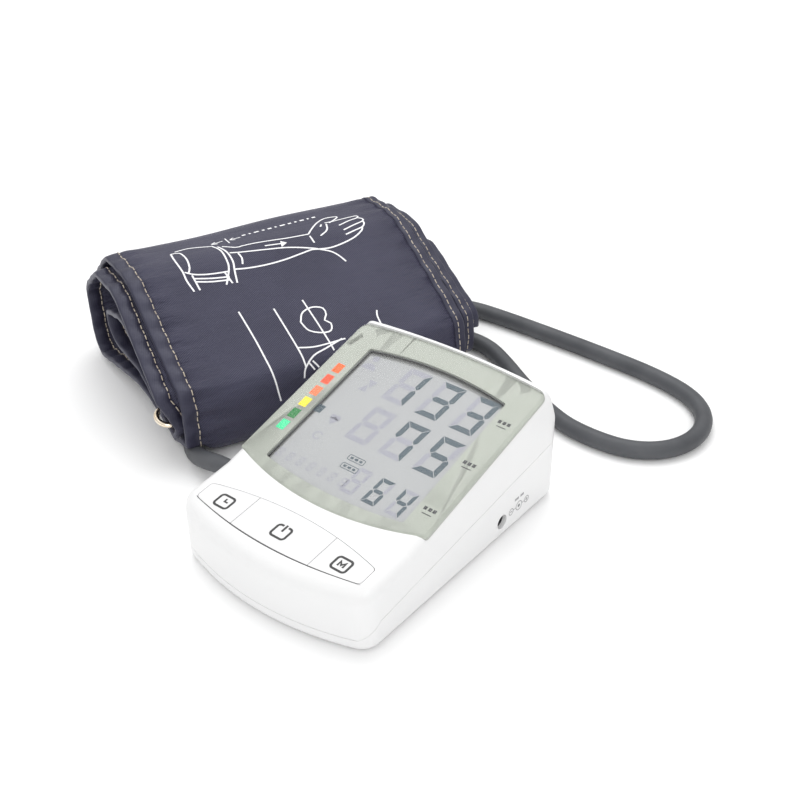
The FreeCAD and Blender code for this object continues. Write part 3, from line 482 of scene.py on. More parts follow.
FLOOR = 4.8
HOSE_DIAMETER = 9.5
HOSE_ROUTE = [
    (-71.45, 9.0, 11.4), (-81.0, 9.0, 11.4), (-91.3, 8.9, 9.2), (-100.5, 11.2, 6.9),
    (-108.8, 16.1, 5.0), (-117.5, 23.9, FLOOR), (-123.2, 33.2, FLOOR), (-126.9, 46.8, FLOOR),
    (-129.1, 64.6, FLOOR), (-128.6, 83.6, FLOOR), (-124.6, 102.2, FLOOR), (-117.7, 120.4, FLOOR),
    (-102.3, 154.0, FLOOR), (-90.2, 175.9, FLOOR), (-77.8, 187.5, FLOOR), (-61.7, 193.0, FLOOR),
    (-44.8, 191.4, FLOOR), (-27.6, 182.4, FLOOR), (-9.6, 171.0, FLOOR), (25.3, 152.2, FLOOR),
    (48.0, 149.2, FLOOR), (69.2, 151.6, FLOOR), (85.5, 163.8, FLOOR), (92.0, 182.5, FLOOR),
    (87.5, 201.8, FLOOR), (72.3, 216.0, FLOOR), (47.0, 222.6, FLOOR), (12.0, 224.4, FLOOR),
    (-24.6, 225.0, FLOOR), (-55.0, 224.9, FLOOR), (-78.1, 223.8, FLOOR), (-91.0, 218.4, FLOOR),
    (-100.9, 208.6, 5.2), (-106.0, 197.0, 5.6),
]


def make_hose(material):
    curve = bpy.data.curves.new("hose", "CURVE")
    curve.dimensions = "3D"
    spline = curve.splines.new("NURBS")
    spline.points.add(len(HOSE_ROUTE) - 1)
    for point, place in zip(spline.points, HOSE_ROUTE):
        point.co = (*in_case(*place), 1)
    spline.order_u = 3
    spline.use_endpoint_u = True
    curve.resolution_u = 10
    curve.bevel_depth = HOSE_DIAMETER / 2 * MM
    curve.bevel_resolution = 8
    curve.use_fill_caps = True
    curve.materials.append(material)
    hose = bpy.data.objects.new("hose_tube", curve)
    bpy.context.scene.collection.objects.link(hose)
    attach(hose, "cuff_set")
    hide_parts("hose")


# ---------------------------------------------------------------- cuff surface
#
# The cuff is one long padded sheet rolled up into a loose spiral.  ROLL is its outer face seen from
# the left end: from the rear end over the top, down the front, under and round again to the flap.
# Each corner is (away from the front, height, radius) in millimetres.

ROLL = [
    (136, 12, 0), (137, 46, 22), (104, 72, 25), (66, 75, 40), (-6.5, 40, 14), (-9, -5.8, 14),
    (55, 16, 60), (127, 1.8, 14), (130.5, 43.5, 16), (102, 66, 20), (67, 69, 34), (0.5, 37.5, 10),
    (-1.5, 8.5, 9), (55, 22, 60), (88, 26, 10), (98, 45, 8), (62, 56, 26), (8, 33.5, 7), (8, 24, 0),
]
LEFT_EDGE = [
    (0, -9.5), (255, -9.5), (345, -17), (460, -17), (538, -19.5), (556, -12), (620, -12), (660, -16),
    (769, -16),
]
RIGHT_EDGE = [(0, 153.5), (255, 153.5), (345, 163), (600, 163), (655, 171), (769, 171)]
THICKNESS = [(0, 3.8), (250, 3.8), (345, 3.0), (600, 3.0), (655, 2.4), (769, 2.4)]
EDGE_THICK, PADDING_START = 1.8, 13.0
LEFT_TAPE, RIGHT_TAPE = 7.6, 6.2
LEFT_SEAM, RIGHT_SEAM = 6.8, 3.4
FRONT_CORNER = 227.5
SECOND_TURN, TURN_GAP = 470.0, 4.4
UNDER_HEIGHT, UNDER_REACH = 22, 60
HOSE_CLEARANCE, DRAPE_REACH, DRAPE_SHARPNESS = 0.5, 9.0, 1.2
CLOTH_FLOOR = 0.35
HOOK_START, HOOK_END, HOOK_LEFT, HOOK_RIGHT = 86, 172, 15, 130


def rounded_path(corners, step=1.0):
    """Close points along a line with rounded corners, and their distances along it."""
    made = [np.array(corners[0][:2], float)]
    for index in range(1, len(corners) - 1):
        corner = np.array(corners[index][:2], float)
        radius = corners[index][2]
        back = np.array(corners[index - 1][:2], float) - corner
        ahead = np.array(corners[index + 1][:2], float) - corner
        back, ahead = back / np.linalg.norm(back), ahead / np.linalg.norm(ahead)
        half = math.acos(float(np.clip(back @ ahead, -1, 1))) / 2
        middle = corner + (back + ahead) / np.linalg.norm(back + ahead) * radius / math.sin(half)
        start = corner + back * radius / math.tan(half) - middle
        finish = corner + ahead * radius / math.tan(half) - middle
        first = math.atan2(start[1], start[0])
        sweep = (math.atan2(finish[1], finish[0]) - first + math.pi) % (2 * math.pi) - math.pi
        count = max(2, int(abs(sweep) * radius / step))
        for k in range(count + 1):
            angle = first + sweep * k / count
            made.append(middle + radius * np.array([math.cos(angle), math.sin(angle)]))
    made.append(np.array(corners[-1][:2], float))
    made = np.array(made)
    legs = np.hypot(*(made[1:] - made[:-1]).T)
    return made, np.concatenate([[0], np.cumsum(legs)])


ROLL_POINTS, ROLL_AT = rounded_path(ROLL)
ROLL_LENGTH = float(ROLL_AT[-1])
TUNNEL_LEGS = 9


def along(table, s):
    return np.interp(s, [row[0] for row in table], [row[1] for row in table])


def smooth(value, low, high):
    t = np.clip((np.asarray(value, float) - low) / (high - low), 0, 1)
    return t * t * (3 - 2 * t)


def roll_place(s):
    return np.interp(s, ROLL_AT, ROLL_POINTS[:, 0]), np.interp(s, ROLL_AT, ROLL_POINTS[:, 1])


def hose_samples():
    """Points close together along the stretch of hose that runs under the cuff, in millimetres."""
    legs = np.array(HOSE_ROUTE[1:TUNNEL_LEGS + 2])
    return np.concatenate([a + (b - a) * np.linspace(0, 1, 8)[:, None] for a, b in zip(legs, legs[1:])])


HOSE_SAMPLES = hose_samples()


def puckers(s, a):
    """How far the cloth stands out of its even surface, by the seams and in broad soft waves."""
    left, right = a - along(LEFT_EDGE, s), along(RIGHT_EDGE, s) - a
    broad = 0.45 * np.sin(s / 21 + a / 37) * np.sin(a / 24 - s / 52 + 1.3) + 0.2 * np.sin(s / 9.3 - a / 15)
    tug_left = np.exp(-((left - 9) / 8.0) ** 2) * np.sin(2 * math.pi * s / 12.3 + 1.5 * np.sin(s / 29))
    tug_right = np.exp(-((right - 7) / 9.0) ** 2) * np.sin(2 * math.pi * s / 14.1 + 1.8 * np.sin(s / 23 + 2))
    dip = np.exp(-((left - LEFT_SEAM) / 1.3) ** 2) + np.exp(-((right - RIGHT_SEAM) / 1.3) ** 2)
    thin = 1 - smooth(np.minimum(left, right), 2, PADDING_START)
    return broad + 0.80 * tug_left + 0.55 * tug_right - 0.35 * dip - 0.8 * thin


def over_hose(points, height):
    """Raises cloth points, in the case frame, that would lie in the hose; height is their layer's."""
    gap = points[:, None, :2] - HOSE_SAMPLES[None, :, :2]
    distance = np.hypot(gap[..., 0], gap[..., 1])
    nearest = distance.argmin(1)
    radius = HOSE_DIAMETER / 2
    top = HOSE_SAMPLES[nearest, 2] + radius + HOSE_CLEARANCE + height
    wanted = top * (1 - smooth(distance.min(1), radius * 0.6, radius + DRAPE_REACH))
    raised = np.logaddexp(points[:, 2] / DRAPE_SHARPNESS, wanted / DRAPE_SHARPNESS) * DRAPE_SHARPNESS
    points[:, 2] = np.where(wanted > 0.01, raised, points[:, 2])


def cuff_surface(s, a, h):
    """Row-frame points, in metres, at s along the roll, a across it and h out of its outer face."""
    s, a, h = (np.asarray(x, float).ravel() for x in np.broadcast_arrays(s, a, h))
    p, z = roll_place(s)
    p0, z0 = roll_place(s - 2.0)
    p1, z1 = roll_place(s + 2.0)
    span = np.hypot(p1 - p0, z1 - z0)
    out_p, out_z = (z1 - z0) / span, -(p1 - p0) / span
    rise = h + puckers(s, a)
    p, z = p + out_p * rise, z + out_z * rise
    x = CUFF_X + a * math.cos(CUFF_TURN) - p * math.sin(CUFF_TURN)
    y = CUFF_Y + a * math.sin(CUFF_TURN) + p * math.cos(CUFF_TURN)
    points = np.stack([x, y, z], 1)
    layer = np.where(s > SECOND_TURN, TURN_GAP, 0.0) - h
    low = (z < UNDER_HEIGHT) & (a < UNDER_REACH)
    if low.any():
        lowered = points[low]
        over_hose(lowered, layer[low])
        points[low] = lowered
    points[:, 2] = np.maximum(points[:, 2], CLOTH_FLOOR)
    return points * MM + np.array(CASE)


def sheet_depth(s, a):
    """Thickness of the padded sheet: thin along both edges, full over the bladder."""
    inset = np.minimum(a - along(LEFT_EDGE, s), along(RIGHT_EDGE, s) - a)
    full = along(THICKNESS, s)
    return EDGE_THICK + (full - EDGE_THICK) * smooth(inset, 3, PADDING_START)


def cloth_mesh(name, points, faces, cloth, material):
    piece = make_mesh(name, points, faces, material, "cuff_set")
    store = piece.data.attributes.new("cloth", "FLOAT_VECTOR", "POINT")
    flat = np.stack([cloth[0].ravel(), cloth[1].ravel(), np.zeros(cloth[0].size)], 1) * MM
    store.data.foreach_set("vector", flat.astype(np.float32).ravel())
    return piece


def grid_faces(rows, columns, first=0, turned=False):
    faces = []
    for i in range(rows - 1):
        for j in range(columns - 1):
            k = first + i * columns + j
            face = [k, k + columns, k + columns + 1, k + 1]
            faces.append(face[::-1] if turned else face)
    return faces


def make_cuff(material):
    """The rolled sheet: an outer and an inner face, closed round the edges."""
    rows, columns = 360, 76
    s = np.linspace(0, ROLL_LENGTH, rows)[:, None] * np.ones((1, columns))
    share = np.linspace(0, 1, columns)[None, :]
    share = share - 0.35 * np.sin(2 * math.pi * share) / (2 * math.pi)
    left, right = along(LEFT_EDGE, s), along(RIGHT_EDGE, s)
    a = left + (right - left) * share
    points = np.concatenate([cuff_surface(s, a, 0.0), cuff_surface(s, a, -sheet_depth(s, a))])
    count = rows * columns
    faces = grid_faces(rows, columns, 0, True) + grid_faces(rows, columns, count)
    rim = [(i, 0) for i in range(rows)] + [(rows - 1, j) for j in range(1, columns)]
    rim += [(i, columns - 1) for i in range(rows - 2, -1, -1)]
    rim += [(0, j) for j in range(columns - 2, 0, -1)]
    ring = [i * columns + j for i, j in rim]
    for k, here in enumerate(ring):
        after = ring[(k + 1) % len(ring)]
        faces.append([here, after, after + count, here + count])
    both = [np.concatenate([x.ravel(), x.ravel()]) for x in (a, s)]
    cuff = cloth_mesh("cuff_roll", points, faces, both, material)
    inset = np.minimum(both[0] - along(LEFT_EDGE, both[1]), along(RIGHT_EDGE, both[1]) - both[0])
    tug = cuff.data.attributes.new("tug", "FLOAT", "POINT")
    tug.data.foreach_set("value", (0.12 + 0.88 * np.exp(-np.maximum(inset - 4, 0) / 11)).astype(np.float32))
    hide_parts("cuff_shell", "cuff_bladder", "cuff_lining", "cuff_inner_turn", "cuff_end_flap")
    return cuff


def make_tape(name, edge, side, width, material):
    """Binding tape folded round one edge of the sheet, for its whole length."""
    t = EDGE_THICK
    profile = [(width, 0.05), (width - 0.25, 0.62), (width / 2, 0.74), (0.5, 0.66), (-0.35, 0.3),
               (-0.6, -t / 2), (-0.35, -t - 0.3), (0.5, -t - 0.66), (width / 2, -t - 0.74),
               (width - 0.25, -t - 0.62), (width, -t - 0.05)]
    rows, columns = 520, len(profile)
    s = np.linspace(0.2, ROLL_LENGTH - 0.2, rows)[:, None] * np.ones((1, columns))
    inset = np.array([p[0] for p in profile])[None, :] * np.ones((rows, 1))
    h = np.array([p[1] for p in profile])[None, :] * np.ones((rows, 1))
    a = along(edge, s) + side * inset
    cloth = (np.cumsum(np.ones((rows, columns)), 1) * 1.5, s)
    return cloth_mesh(name, cuff_surface(s, a, h), grid_faces(rows, columns, 0, side < 0), cloth, material)


STITCH_LONG, STITCH_GAP, STITCH_WIDE = 2.8, 0.9, 0.62


def make_stitches(name, edge, side, inset, material):
    """Two rows of stitches on the two faces of a seam, each stitch a short round-backed thread."""
    starts = np.arange(2.0, ROLL_LENGTH - 4, STITCH_LONG + STITCH_GAP)
    stations = [(0.0, 0.1), (0.35, 1.0), (STITCH_LONG - 0.35, 1.0), (STITCH_LONG, 0.1)]
    section = [(math.cos(angle), math.sin(angle)) for angle in steps_round(5, math.pi, -math.pi, False)]
    s, a, h = [], [], []
    for face_sign, base in ((1, 0.70), (-1, -EDGE_THICK - 0.70)):
        for start in starts:
            for shift, swell in stations:
                for across, up in section:
                    s.append(start + shift)
                    a.append(side * inset + across * STITCH_WIDE / 2)
                    h.append(base + face_sign * (up * 0.42 * swell - 0.06))
    s, a, h = np.array(s), np.array(a), np.array(h)
    points = cuff_surface(s, along(edge, s) + a, h)
    faces = []
    for stitch in range(2 * len(starts)):
        faces += grid_faces(len(stations), len(section), stitch * len(stations) * len(section))
    return make_mesh(name, points, faces, material, "cuff_set")


# ---------------------------------------------------------------- print on the cuff
#
# Each stroke is a list of (along the roll from its left seam, up from the front corner) points, in
# millimetres; a curve is drawn through them.

SLEEVE = [
    [(20.8, 132.8), (19.8, 122.5), (20, 111.7), (19.7, 105.4), (20.9, 97.4)],
    [(20.8, 132.8), (25.3, 131.7), (26.1, 123.1), (24.6, 113.9), (22.4, 110)],
    [(23.7, 108), (24.1, 97.4)],
    [(20.8, 111.4), (24.4, 108.6), (29.7, 106.7), (36.1, 105.5), (43.2, 104.7)],
    [(24, 105.5), (32.6, 103.1), (42.2, 101.2)],
    [(24.1, 103.3), (31.7, 101), (41.8, 99.2)],
    [(23.7, 134.6), (30.1, 135.4), (35.8, 134.1), (43.4, 130.6)],
    [(43.6, 131.2), (45.6, 122.5), (45.2, 113), (43.8, 106.2), (38.7, 96.7)],
    [(46, 128.2), (47.9, 119.5), (47.9, 110.7), (46.3, 104.3), (44.6, 96.2)],
    [(40.8, 104.9), (42.1, 96.7)],
]
ARM = [
    [(48.1, 126.8), (54.1, 121.6), (57.7, 121.5), (64.8, 121.3), (75.2, 120), (83.9, 118.9), (96.2, 118.3)],
    [(96.2, 118.3), (100.4, 123.1), (106.7, 129.6), (113.2, 133.1), (119.9, 131.9), (118.9, 129.7),
     (115.3, 127.3), (112.5, 125.6)],
    [(110.3, 127.1), (115, 126.7), (121.8, 126.8), (129.9, 126.3), (129.2, 123.6), (123.6, 122.6),
     (116.1, 120.2)],
    [(129.2, 123.6), (131.2, 121.2), (130.3, 118.8), (123.8, 117.1), (116.4, 114.9)],
    [(130.3, 118.8), (130.1, 116.6), (127.9, 113.8), (122.4, 112.4), (115.8, 110.8)],
    [(127.4, 113.8), (126.2, 111.3), (120, 107.5), (112.2, 105.2), (103.1, 103.9), (95.2, 104.9)],
    [(110.6, 125.5), (107.7, 118.5), (101.9, 114.4)],
    [(107.8, 126.1), (106, 123.4)],
    [(96.1, 116.4), (95.9, 109.9)],
    [(49, 117.8), (55.3, 115.8), (67.6, 113.2), (80.2, 110.7), (92.2, 106.6), (96.8, 104.4), (102, 101.4),
     (105, 97.6), (107.3, 92.4)],
    [(46.8, 105), (53.8, 103.6), (64.1, 102.7), (75, 103), (84.7, 104.3), (92.6, 105.4), (96.8, 104.4)],
    [(53, 115.6), (53.4, 111.3), (52, 107)],
    [(69, 116.3), (78, 115)],
]
ARROW_HEAD = [(78.7, 117.5), (81.5, 114.7), (77.2, 112.1)]
LOWER_DRAWING = [
    [(37.9, 78.1), (39.4, 57.8), (39.9, 42), (40.9, 30.3), (42.2, 21.4)],
    [(56.3, 74.4), (58.3, 47.4), (58.6, 35.8)],
    [(73.3, 75.3), (75, 58.2), (76.3, 40.2)],
    [(66.5, 62), (69.9, 67.5), (76.4, 69.4), (81.8, 67.1), (81.7, 62.7), (79.4, 59.6), (81.8, 56.7),
     (79.8, 52.3), (74.4, 52.5), (68.5, 55.9), (66.5, 62)],
    [(58.3, 47.4), (68.3, 45.2), (85, 45.2)],
    [(83.4, 45.7), (72.7, 42.7), (64.4, 40.4), (58.1, 35.1), (56.5, 30.3)],
    [(60.7, 37.8), (63, 33.2)],
    [(63.1, 38), (65.6, 33.9)],
    [(109.5, 57.1), (108.1, 53.8), (107.6, 47)],
]
DIMENSION_ARROWS = [
    [(44.5, 133.2), (51.5, 134.6)],
    [(47.2, 135.3), (44.5, 133.2), (47.9, 132.2)],
    [(53.6, 129.2), (53.9, 137.6)],
    [(55.6, 133.9), (61.9, 134.2)],
    [(58.2, 135.9), (55.6, 133.9), (58.2, 132.2)],
]
TEXT_BASE = ((63.6, 136.2), (109.6, 138.2))
TEXT_TICKS = (2.2, 1.2, 3.0, 1.6, 2.4, 1.2, 3.2, 2.0, 1.4, 2.6, 1.2, 2.2)


def drawn_curve(spots, step=1.6):
    """Close points on a smooth curve through the given ones."""
    spots = [np.array(p, float) for p in spots]
    if len(spots) == 2:
        count = max(2, int(np.linalg.norm(spots[1] - spots[0]) / step))
        return [spots[0] + (spots[1] - spots[0]) * k / count for k in range(count + 1)]
    padded = [2 * spots[0] - spots[1]] + spots + [2 * spots[-1] - spots[-2]]
    made = []
    for p0, p1, p2, p3 in zip(padded, padded[1:], padded[2:], padded[3:]):
        count = max(2, int(np.linalg.norm(p2 - p1) / step))
        for k in range(count):
            t = k / count
            made.append(0.5 * (2 * p1 + (p2 - p0) * t + (2 * p0 - 5 * p1 + 4 * p2 - p3) * t * t
                               + (3 * p1 - p0 - 3 * p2 + p3) * t ** 3))
    return made + [spots[-1]]


class ClothPrint:
    """Ribbons of ink that lie on the front of the cuff."""

    def __init__(self, lift=0.14):
        self.s, self.a, self.faces, self.lift = [], [], [], lift

    def ribbon(self, line, width):
        spots = drawn_curve(line)
        first = len(self.s)
        for index, spot in enumerate(spots):
            before, after = spots[max(0, index - 1)], spots[min(len(spots) - 1, index + 1)]
            way = (after - before) / max(1e-6, np.linalg.norm(after - before))
            for side in (-1, 1):
                self.a.append(spot[0] - way[1] * side * width / 2)
                self.s.append(FRONT_CORNER - (spot[1] + way[0] * side * width / 2))
        for index in range(len(spots) - 1):
            k = first + 2 * index
            self.faces.append([k, k + 2, k + 3, k + 1])

    def patch(self, corners):
        first = len(self.s)
        for a, up in corners:
            self.a.append(a)
            self.s.append(FRONT_CORNER - up)
        self.faces.append(list(range(first, first + len(corners))))

    def build(self, name, material):
        s, a = np.array(self.s), np.array(self.a)
        return make_mesh(name, cuff_surface(s, a, self.lift), self.faces, material, "cuff_set")


def make_cuff_print(material, line_width=0.95):
    page = ClothPrint()
    for drawing, width in ((SLEEVE, line_width), (ARM, line_width), (LOWER_DRAWING, line_width * 0.95),
                           (DIMENSION_ARROWS, line_width * 0.75)):
        for stroke in drawing:
            page.ribbon(stroke, width)
    page.patch(ARROW_HEAD)
    (a0, up0), (a1, up1) = TEXT_BASE
    length = math.hypot(a1 - a0, up1 - up0)
    way = ((a1 - a0) / length, (up1 - up0) / length)
    gap = (length - sum(TEXT_TICKS)) / (len(TEXT_TICKS) - 1)
    place = 0.0
    for tick in TEXT_TICKS:
        start = (a0 + way[0] * place, up0 + way[1] * place)
        page.ribbon([start, (start[0] + way[0] * tick, start[1] + way[1] * tick)], 1.5)
        place += tick + gap
    page.build("cuff_print", material)


def make_hook_patch(material):
    """Hook tape sewn on the inner face of the outer turn."""
    rows, columns = 40, 60
    s = np.linspace(HOOK_START, HOOK_END, rows)[:, None] * np.ones((1, columns))
    a = np.linspace(HOOK_LEFT, HOOK_RIGHT, columns)[None, :] * np.ones((rows, 1))
    h = -sheet_depth(s, a) - 0.5
    patch = cloth_mesh("hook_tape", cuff_surface(s, a, h), grid_faces(rows, columns), (a, s), material)
    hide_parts("cuff_hook_patch")


# ---------------------------------------------------------------- display

SLANT = 0.087
# The last depth is that of the painted shadow strips along the window's edges.
BORDER_DEPTH, FIGURE_DEPTH, PAINTED_SHADOW_DEPTH = 1.58, 3.59, 3.595
SEGMENTS = {
    "0": "abcdef", "1": "bc", "2": "abged", "3": "abgcd", "4": "fgbc", "5": "afgcd", "6": "afgedc",
    "7": "abcf", "8": "abcdefg", "9": "abcdfg", "": "",
}


def segment_outline(which, wide, high, thick):
    """One bar of a seven-bar figure, with bevelled ends, before it is slanted."""
    gap, half = 0.25, thick / 2
    middle = high / 2
    bars = {
        "a": [(gap, high), (wide - gap, high), (wide - thick, high - thick), (thick, high - thick)],
        "d": [(thick, thick), (wide - thick, thick), (wide - gap, 0), (gap, 0)],
        "g": [(half + gap, middle), (thick, middle + half), (wide - thick, middle + half),
              (wide - half - gap, middle), (wide - thick, middle - half), (thick, middle - half)],
        "f": [(0, high - gap), (thick - gap, high - thick - gap), (thick - gap, middle + half + gap),
              (half - gap, middle + gap), (0, middle + half)],
        "b": [(wide, high - gap), (wide, middle + half), (wide - half + gap, middle + gap),
              (wide - thick + gap, middle + half + gap), (wide - thick + gap, high - thick - gap)],
        "e": [(0, gap), (0, middle - half), (half - gap, middle - gap),
              (thick - gap, middle - half - gap), (thick - gap, thick + gap)],
        "c": [(wide, gap), (wide - thick + gap, thick + gap), (wide - thick + gap, middle - half - gap),
              (wide - half + gap, middle - gap), (wide, middle - half)],
    }
    return bars[which]


def draw_figure(lit, ghost, figure, u, v, wide, high, thick):
    """Lit bars go to one print and the idle ones to the other."""
    for which in "abcdefg":
        line = [(u + x + SLANT * y, v + y) for x, y in segment_outline(which, wide, high, thick)]
        page = lit if which in SEGMENTS[figure] else ghost
        page.polygon(line)


BIG_WIDE, BIG_STROKE, BIG_PITCH = 12.9, 3.1, 20.0
BIG_RIGHT = 23.4
SMALL_WIDE, SMALL_STROKE, SMALL_PITCH = 7.7, 2.1, 13.1
TOP_ROW, MIDDLE_ROW, LOW_ROW = (58.3, 23.2), (29.9, 22.9), (3.6, 15.5)


def make_display(lit_ink, ghost_ink):
    plane = display_frame(FIGURE_DEPTH)
    lit, ghost = Print(plane), Print(plane, 0.02)
    for row, figures in ((TOP_ROW, "133"), (MIDDLE_ROW, " 75")):
        for place, figure in enumerate(figures):
            left = BIG_RIGHT - (2 - place) * BIG_PITCH
            draw_figure(lit, ghost, figure.strip(), left, row[0], BIG_WIDE, row[1], BIG_STROKE)
    for place, figure in enumerate("64"):
        left = 14.5 + place * SMALL_PITCH
        draw_figure(lit, ghost, figure, left, LOW_ROW[0], SMALL_WIDE, LOW_ROW[1], SMALL_STROKE)
    draw_figure(ghost, ghost, "8", 1.6, LOW_ROW[0], SMALL_WIDE, LOW_ROW[1], SMALL_STROKE)
    draw_tag(lit, -1.7, 21.4)
    draw_tag(lit, -1.7, 16.1)
    lit.polygon([(-41, 36), (-36.6, 36), (-36.2, 41), (-40.6, 41)])
    draw_idle_marks(ghost)
    lit.build("display_figures", lit_ink, "monitor", "lcd_glass")
    ghost.build("display_idle_marks", ghost_ink, "monitor", "lcd_glass")


def draw_tag(page, u, v):
    """A small framed tag whose word is shown as short bars."""
    page.stroke(rounded_box(u, v, 4.6, 1.5, 0.5), 0.35, closed=True)
    for shift, half in ((-2.6, 0.8), (0.0, 0.9), (2.6, 0.8)):
        page.stroke([(u + shift - half, v), (u + shift + half, v)], 1.3)


def draw_idle_marks(ghost):
    """User sign, arrow heads, heart, a small mark and the row of small clock figures."""
    ghost.disc(-34.5, 78.2, 1.9)
    ghost.polygon(arc_line(-34.5, 70.6, 4.0, 0, 180, 14))
    ghost.polygon([(-28.5, 65.5), (-25.5, 60.5), (-23.5, 65.5)])
    ghost.polygon([(-30.2, 57.6), (-25.2, 57.6), (-27.4, 62.4)])
    for side in (-1, 1):
        ghost.disc(-27.6 + side * 1.35, 37.6, 1.6)
    ghost.polygon([(-27.6, 32.6), (-24.9, 36.6), (-27.6, 37.8), (-30.3, 36.6)])
    ghost.stroke(arc_line(-28.1, 24.6, 2.2, 30, 330, 12), 0.8)
    for index in range(7):
        draw_figure(ghost, ghost, "8", -39 + index * 6.4, 5.2, 3.0, 5.4, 0.8)


BAR_LEFT, BAR_RIGHT, BAR_HALF = -48.4, -43.9, 3.05
BAR_COLORS = (
    ("bar_red_orange", 60.7, (1.0, 0.125, 0.0)), ("bar_orange", 52.5, (1.0, 0.065, 0.0)),
    ("bar_salmon", 44.1, (1.0, 0.19, 0.06)), ("bar_yellow", 36.1, (1.0, 0.78, 0.02)),
    ("bar_green", 28.0, (0.0, 0.19, 0.03)), ("bar_mint", 20.1, (0.06, 0.75, 0.35)),
)


WORD_ROWS = (70.3, 42.6, 12.9)


def make_border_print(black):
    """Six colour bars at the left and three rows of word bars with underlines at the right."""
    plane = display_frame(BORDER_DEPTH)
    for name, y, color in BAR_COLORS:
        bar, v = Print(plane), y / math.cos(DISPLAY_SLOPE)
        bar.polygon([(BAR_LEFT, v - BAR_HALF), (BAR_RIGHT, v - BAR_HALF), (BAR_RIGHT, v + BAR_HALF),
                     (BAR_LEFT, v + BAR_HALF)])
        bar.build(name, ink(name, color), "monitor", "lens_border")
    words = Print(plane)
    for v in WORD_ROWS:
        for start in (43.4, 45.9, 48.3):
            words.stroke([(start, v + 0.6), (start + 1.7, v + 0.6)], 1.9)
        words.stroke([(44.2, v - 2.2), (49.2, v - 2.2)], 0.5)
    words.build("border_words", black, "monitor", "lens_border")


WINDOW_HALF, WINDOW_REAR, WINDOW_BULGE = 40.5, 81.5, 4.6
# Tones of the painted shadow strips, from the window's edge inwards.
PAINTED_SHADOW_TONES = (0.045, 0.085, 0.15, 0.25)


def make_painted_window_shadow():
    """Painted shadow: strips of dark ink on the glass along the window's left and rear edges, darkest at the
    edge, standing in for the band of shade that the deep border leaves there.
    """
    radius = (WINDOW_HALF ** 2 + WINDOW_BULGE ** 2) / (2 * WINDOW_BULGE)
    step = 0.8
    for number, shade in enumerate(PAINTED_SHADOW_TONES):
        inset = (number + 0.4) * step
        left = -WINDOW_HALF + 0.55 * inset
        page = Print(display_frame(PAINTED_SHADOW_DEPTH), 0.02)
        page.stroke([(left, 0.5), (left, WINDOW_REAR - 0.5)], 0.6 * step)
        line = []
        for share in range(25):
            u = left + (2 * WINDOW_HALF - 1.0) * share / 24
            line.append((u, WINDOW_REAR + WINDOW_BULGE - radius + math.sqrt(radius ** 2 - u * u) - inset))
        page.stroke(line, step)
        page.build("window_shade_%d" % number, ink("shade_%d" % number, (shade, shade, shade * 1.04)),
                   "monitor", "lcd_glass")


# ---------------------------------------------------------------- key signs and socket sign

def touch(node, start, way):
    """Where a ray meets a CAD node, and the surface's direction there."""
    hit, place, facing, _ = NODES[node].ray_cast(start, way)
    return (place, facing) if hit else (start, -way)


def key_plane(node, x, y):
    place, facing = touch(node, in_case(x, y, ABOVE), Vector((0, 0, -1)))
    slope = math.atan2(-facing.y, facing.z)
    return Matrix.Translation(place + facing * 0.00002) @ Matrix.Rotation(slope, 4, "X")


KEY_X, KEY_SIGN_Y, SIGN_HALF, SIGN_LINE = 34.4, -31.0, 3.9, 1.15
KEY_SPLIT, KEY_REACH, SPLIT_CLEAR, SPLIT_STEP = 22.5, 44.0, 0.6, 0.8
ABOVE, BESIDE = 90, 120
SOCKET_SIGN_Y, SOCKET_SIGN_Z = 71.8, 12.2


def draw_key_frame(page, opening=0.0):
    """A rounded square outline, left open at its top when it has an opening."""
    line = rounded_box(0, 0, SIGN_HALF, SIGN_HALF * 0.92, 1.6)
    if opening:
        top = SIGN_HALF * 0.92
        kept = line[6:] + line[:6]
        page.stroke([(-opening, top)] + kept + [(opening, top)], SIGN_LINE)
    else:
        page.stroke(line, SIGN_LINE, closed=True)


def make_key_signs(black):
    clock = Print(key_plane("button_clock", -KEY_X, KEY_SIGN_Y))
    draw_key_frame(clock)
    clock.stroke([(0, 1.9), (0, 0), (1.9, 0)], 0.85)
    clock.build("clock_sign", black, "key_clock", "white_plastic")
    power = Print(key_plane("button_power", 0, KEY_SIGN_Y))
    draw_key_frame(power, 1.35)
    power.stroke([(0, 0.3), (0, 4.6)], 1.05)
    power.build("power_sign", black, "key_power", "white_plastic")
    memory = Print(key_plane("button_memory", KEY_X, KEY_SIGN_Y))
    draw_key_frame(memory)
    memory.stroke([(-1.4, -1.4), (-1.4, 1.4), (0, -0.5), (1.4, 1.4), (1.4, -1.4)], 0.95)
    memory.build("memory_sign", black, "key_memory", "white_plastic")


def make_socket_sign(grey):
    """The round polarity sign printed on the side, behind the supply socket."""
    start, way = in_case(BESIDE, SOCKET_SIGN_Y, SOCKET_SIGN_Z), Vector((-1, 0, 0))
    hits = [touch(node, start, way) for node in ("top_case", "bottom_case")]
    place, facing = max((hit for hit in hits if hit[0] != start), key=lambda hit: hit[0].x)
    across = Vector((0, 1, 0))
    up = facing.cross(across).normalized()
    plane = Matrix.Translation(place + facing * 0.00003) @ Matrix((across, up, facing)).transposed().to_4x4()
    page = Print(plane)
    for u, radius in ((-6.4, 1.7), (0.0, 2.4), (6.4, 1.7)):
        page.stroke([(u + x, y) for x, y in arc_line(0, 0, radius, 0, 360, 20)], 0.4)
        page.stroke([(u - 0.8, 0), (u + 0.8, 0)], 0.5)
    page.stroke([(6.4, -0.8), (6.4, 0.8)], 0.5)
    page.disc(0, 0, 0.9)
    page.stroke([(-4.7, 0), (-2.4, 0)], 0.35)
    page.stroke([(2.4, 0), (4.7, 0)], 0.35)
    for start, finish in ((-3.6, -0.4), (1.0, 3.8)):
        page.stroke([(start, 5.0), (finish, 5.0)], 1.3)
    page.build("socket_sign", grey, "monitor", "white_plastic")


STRIP_HALF, STRIP_MIDDLE_Y, STRIP_END_Y = 47.8, -40.9, -35.2


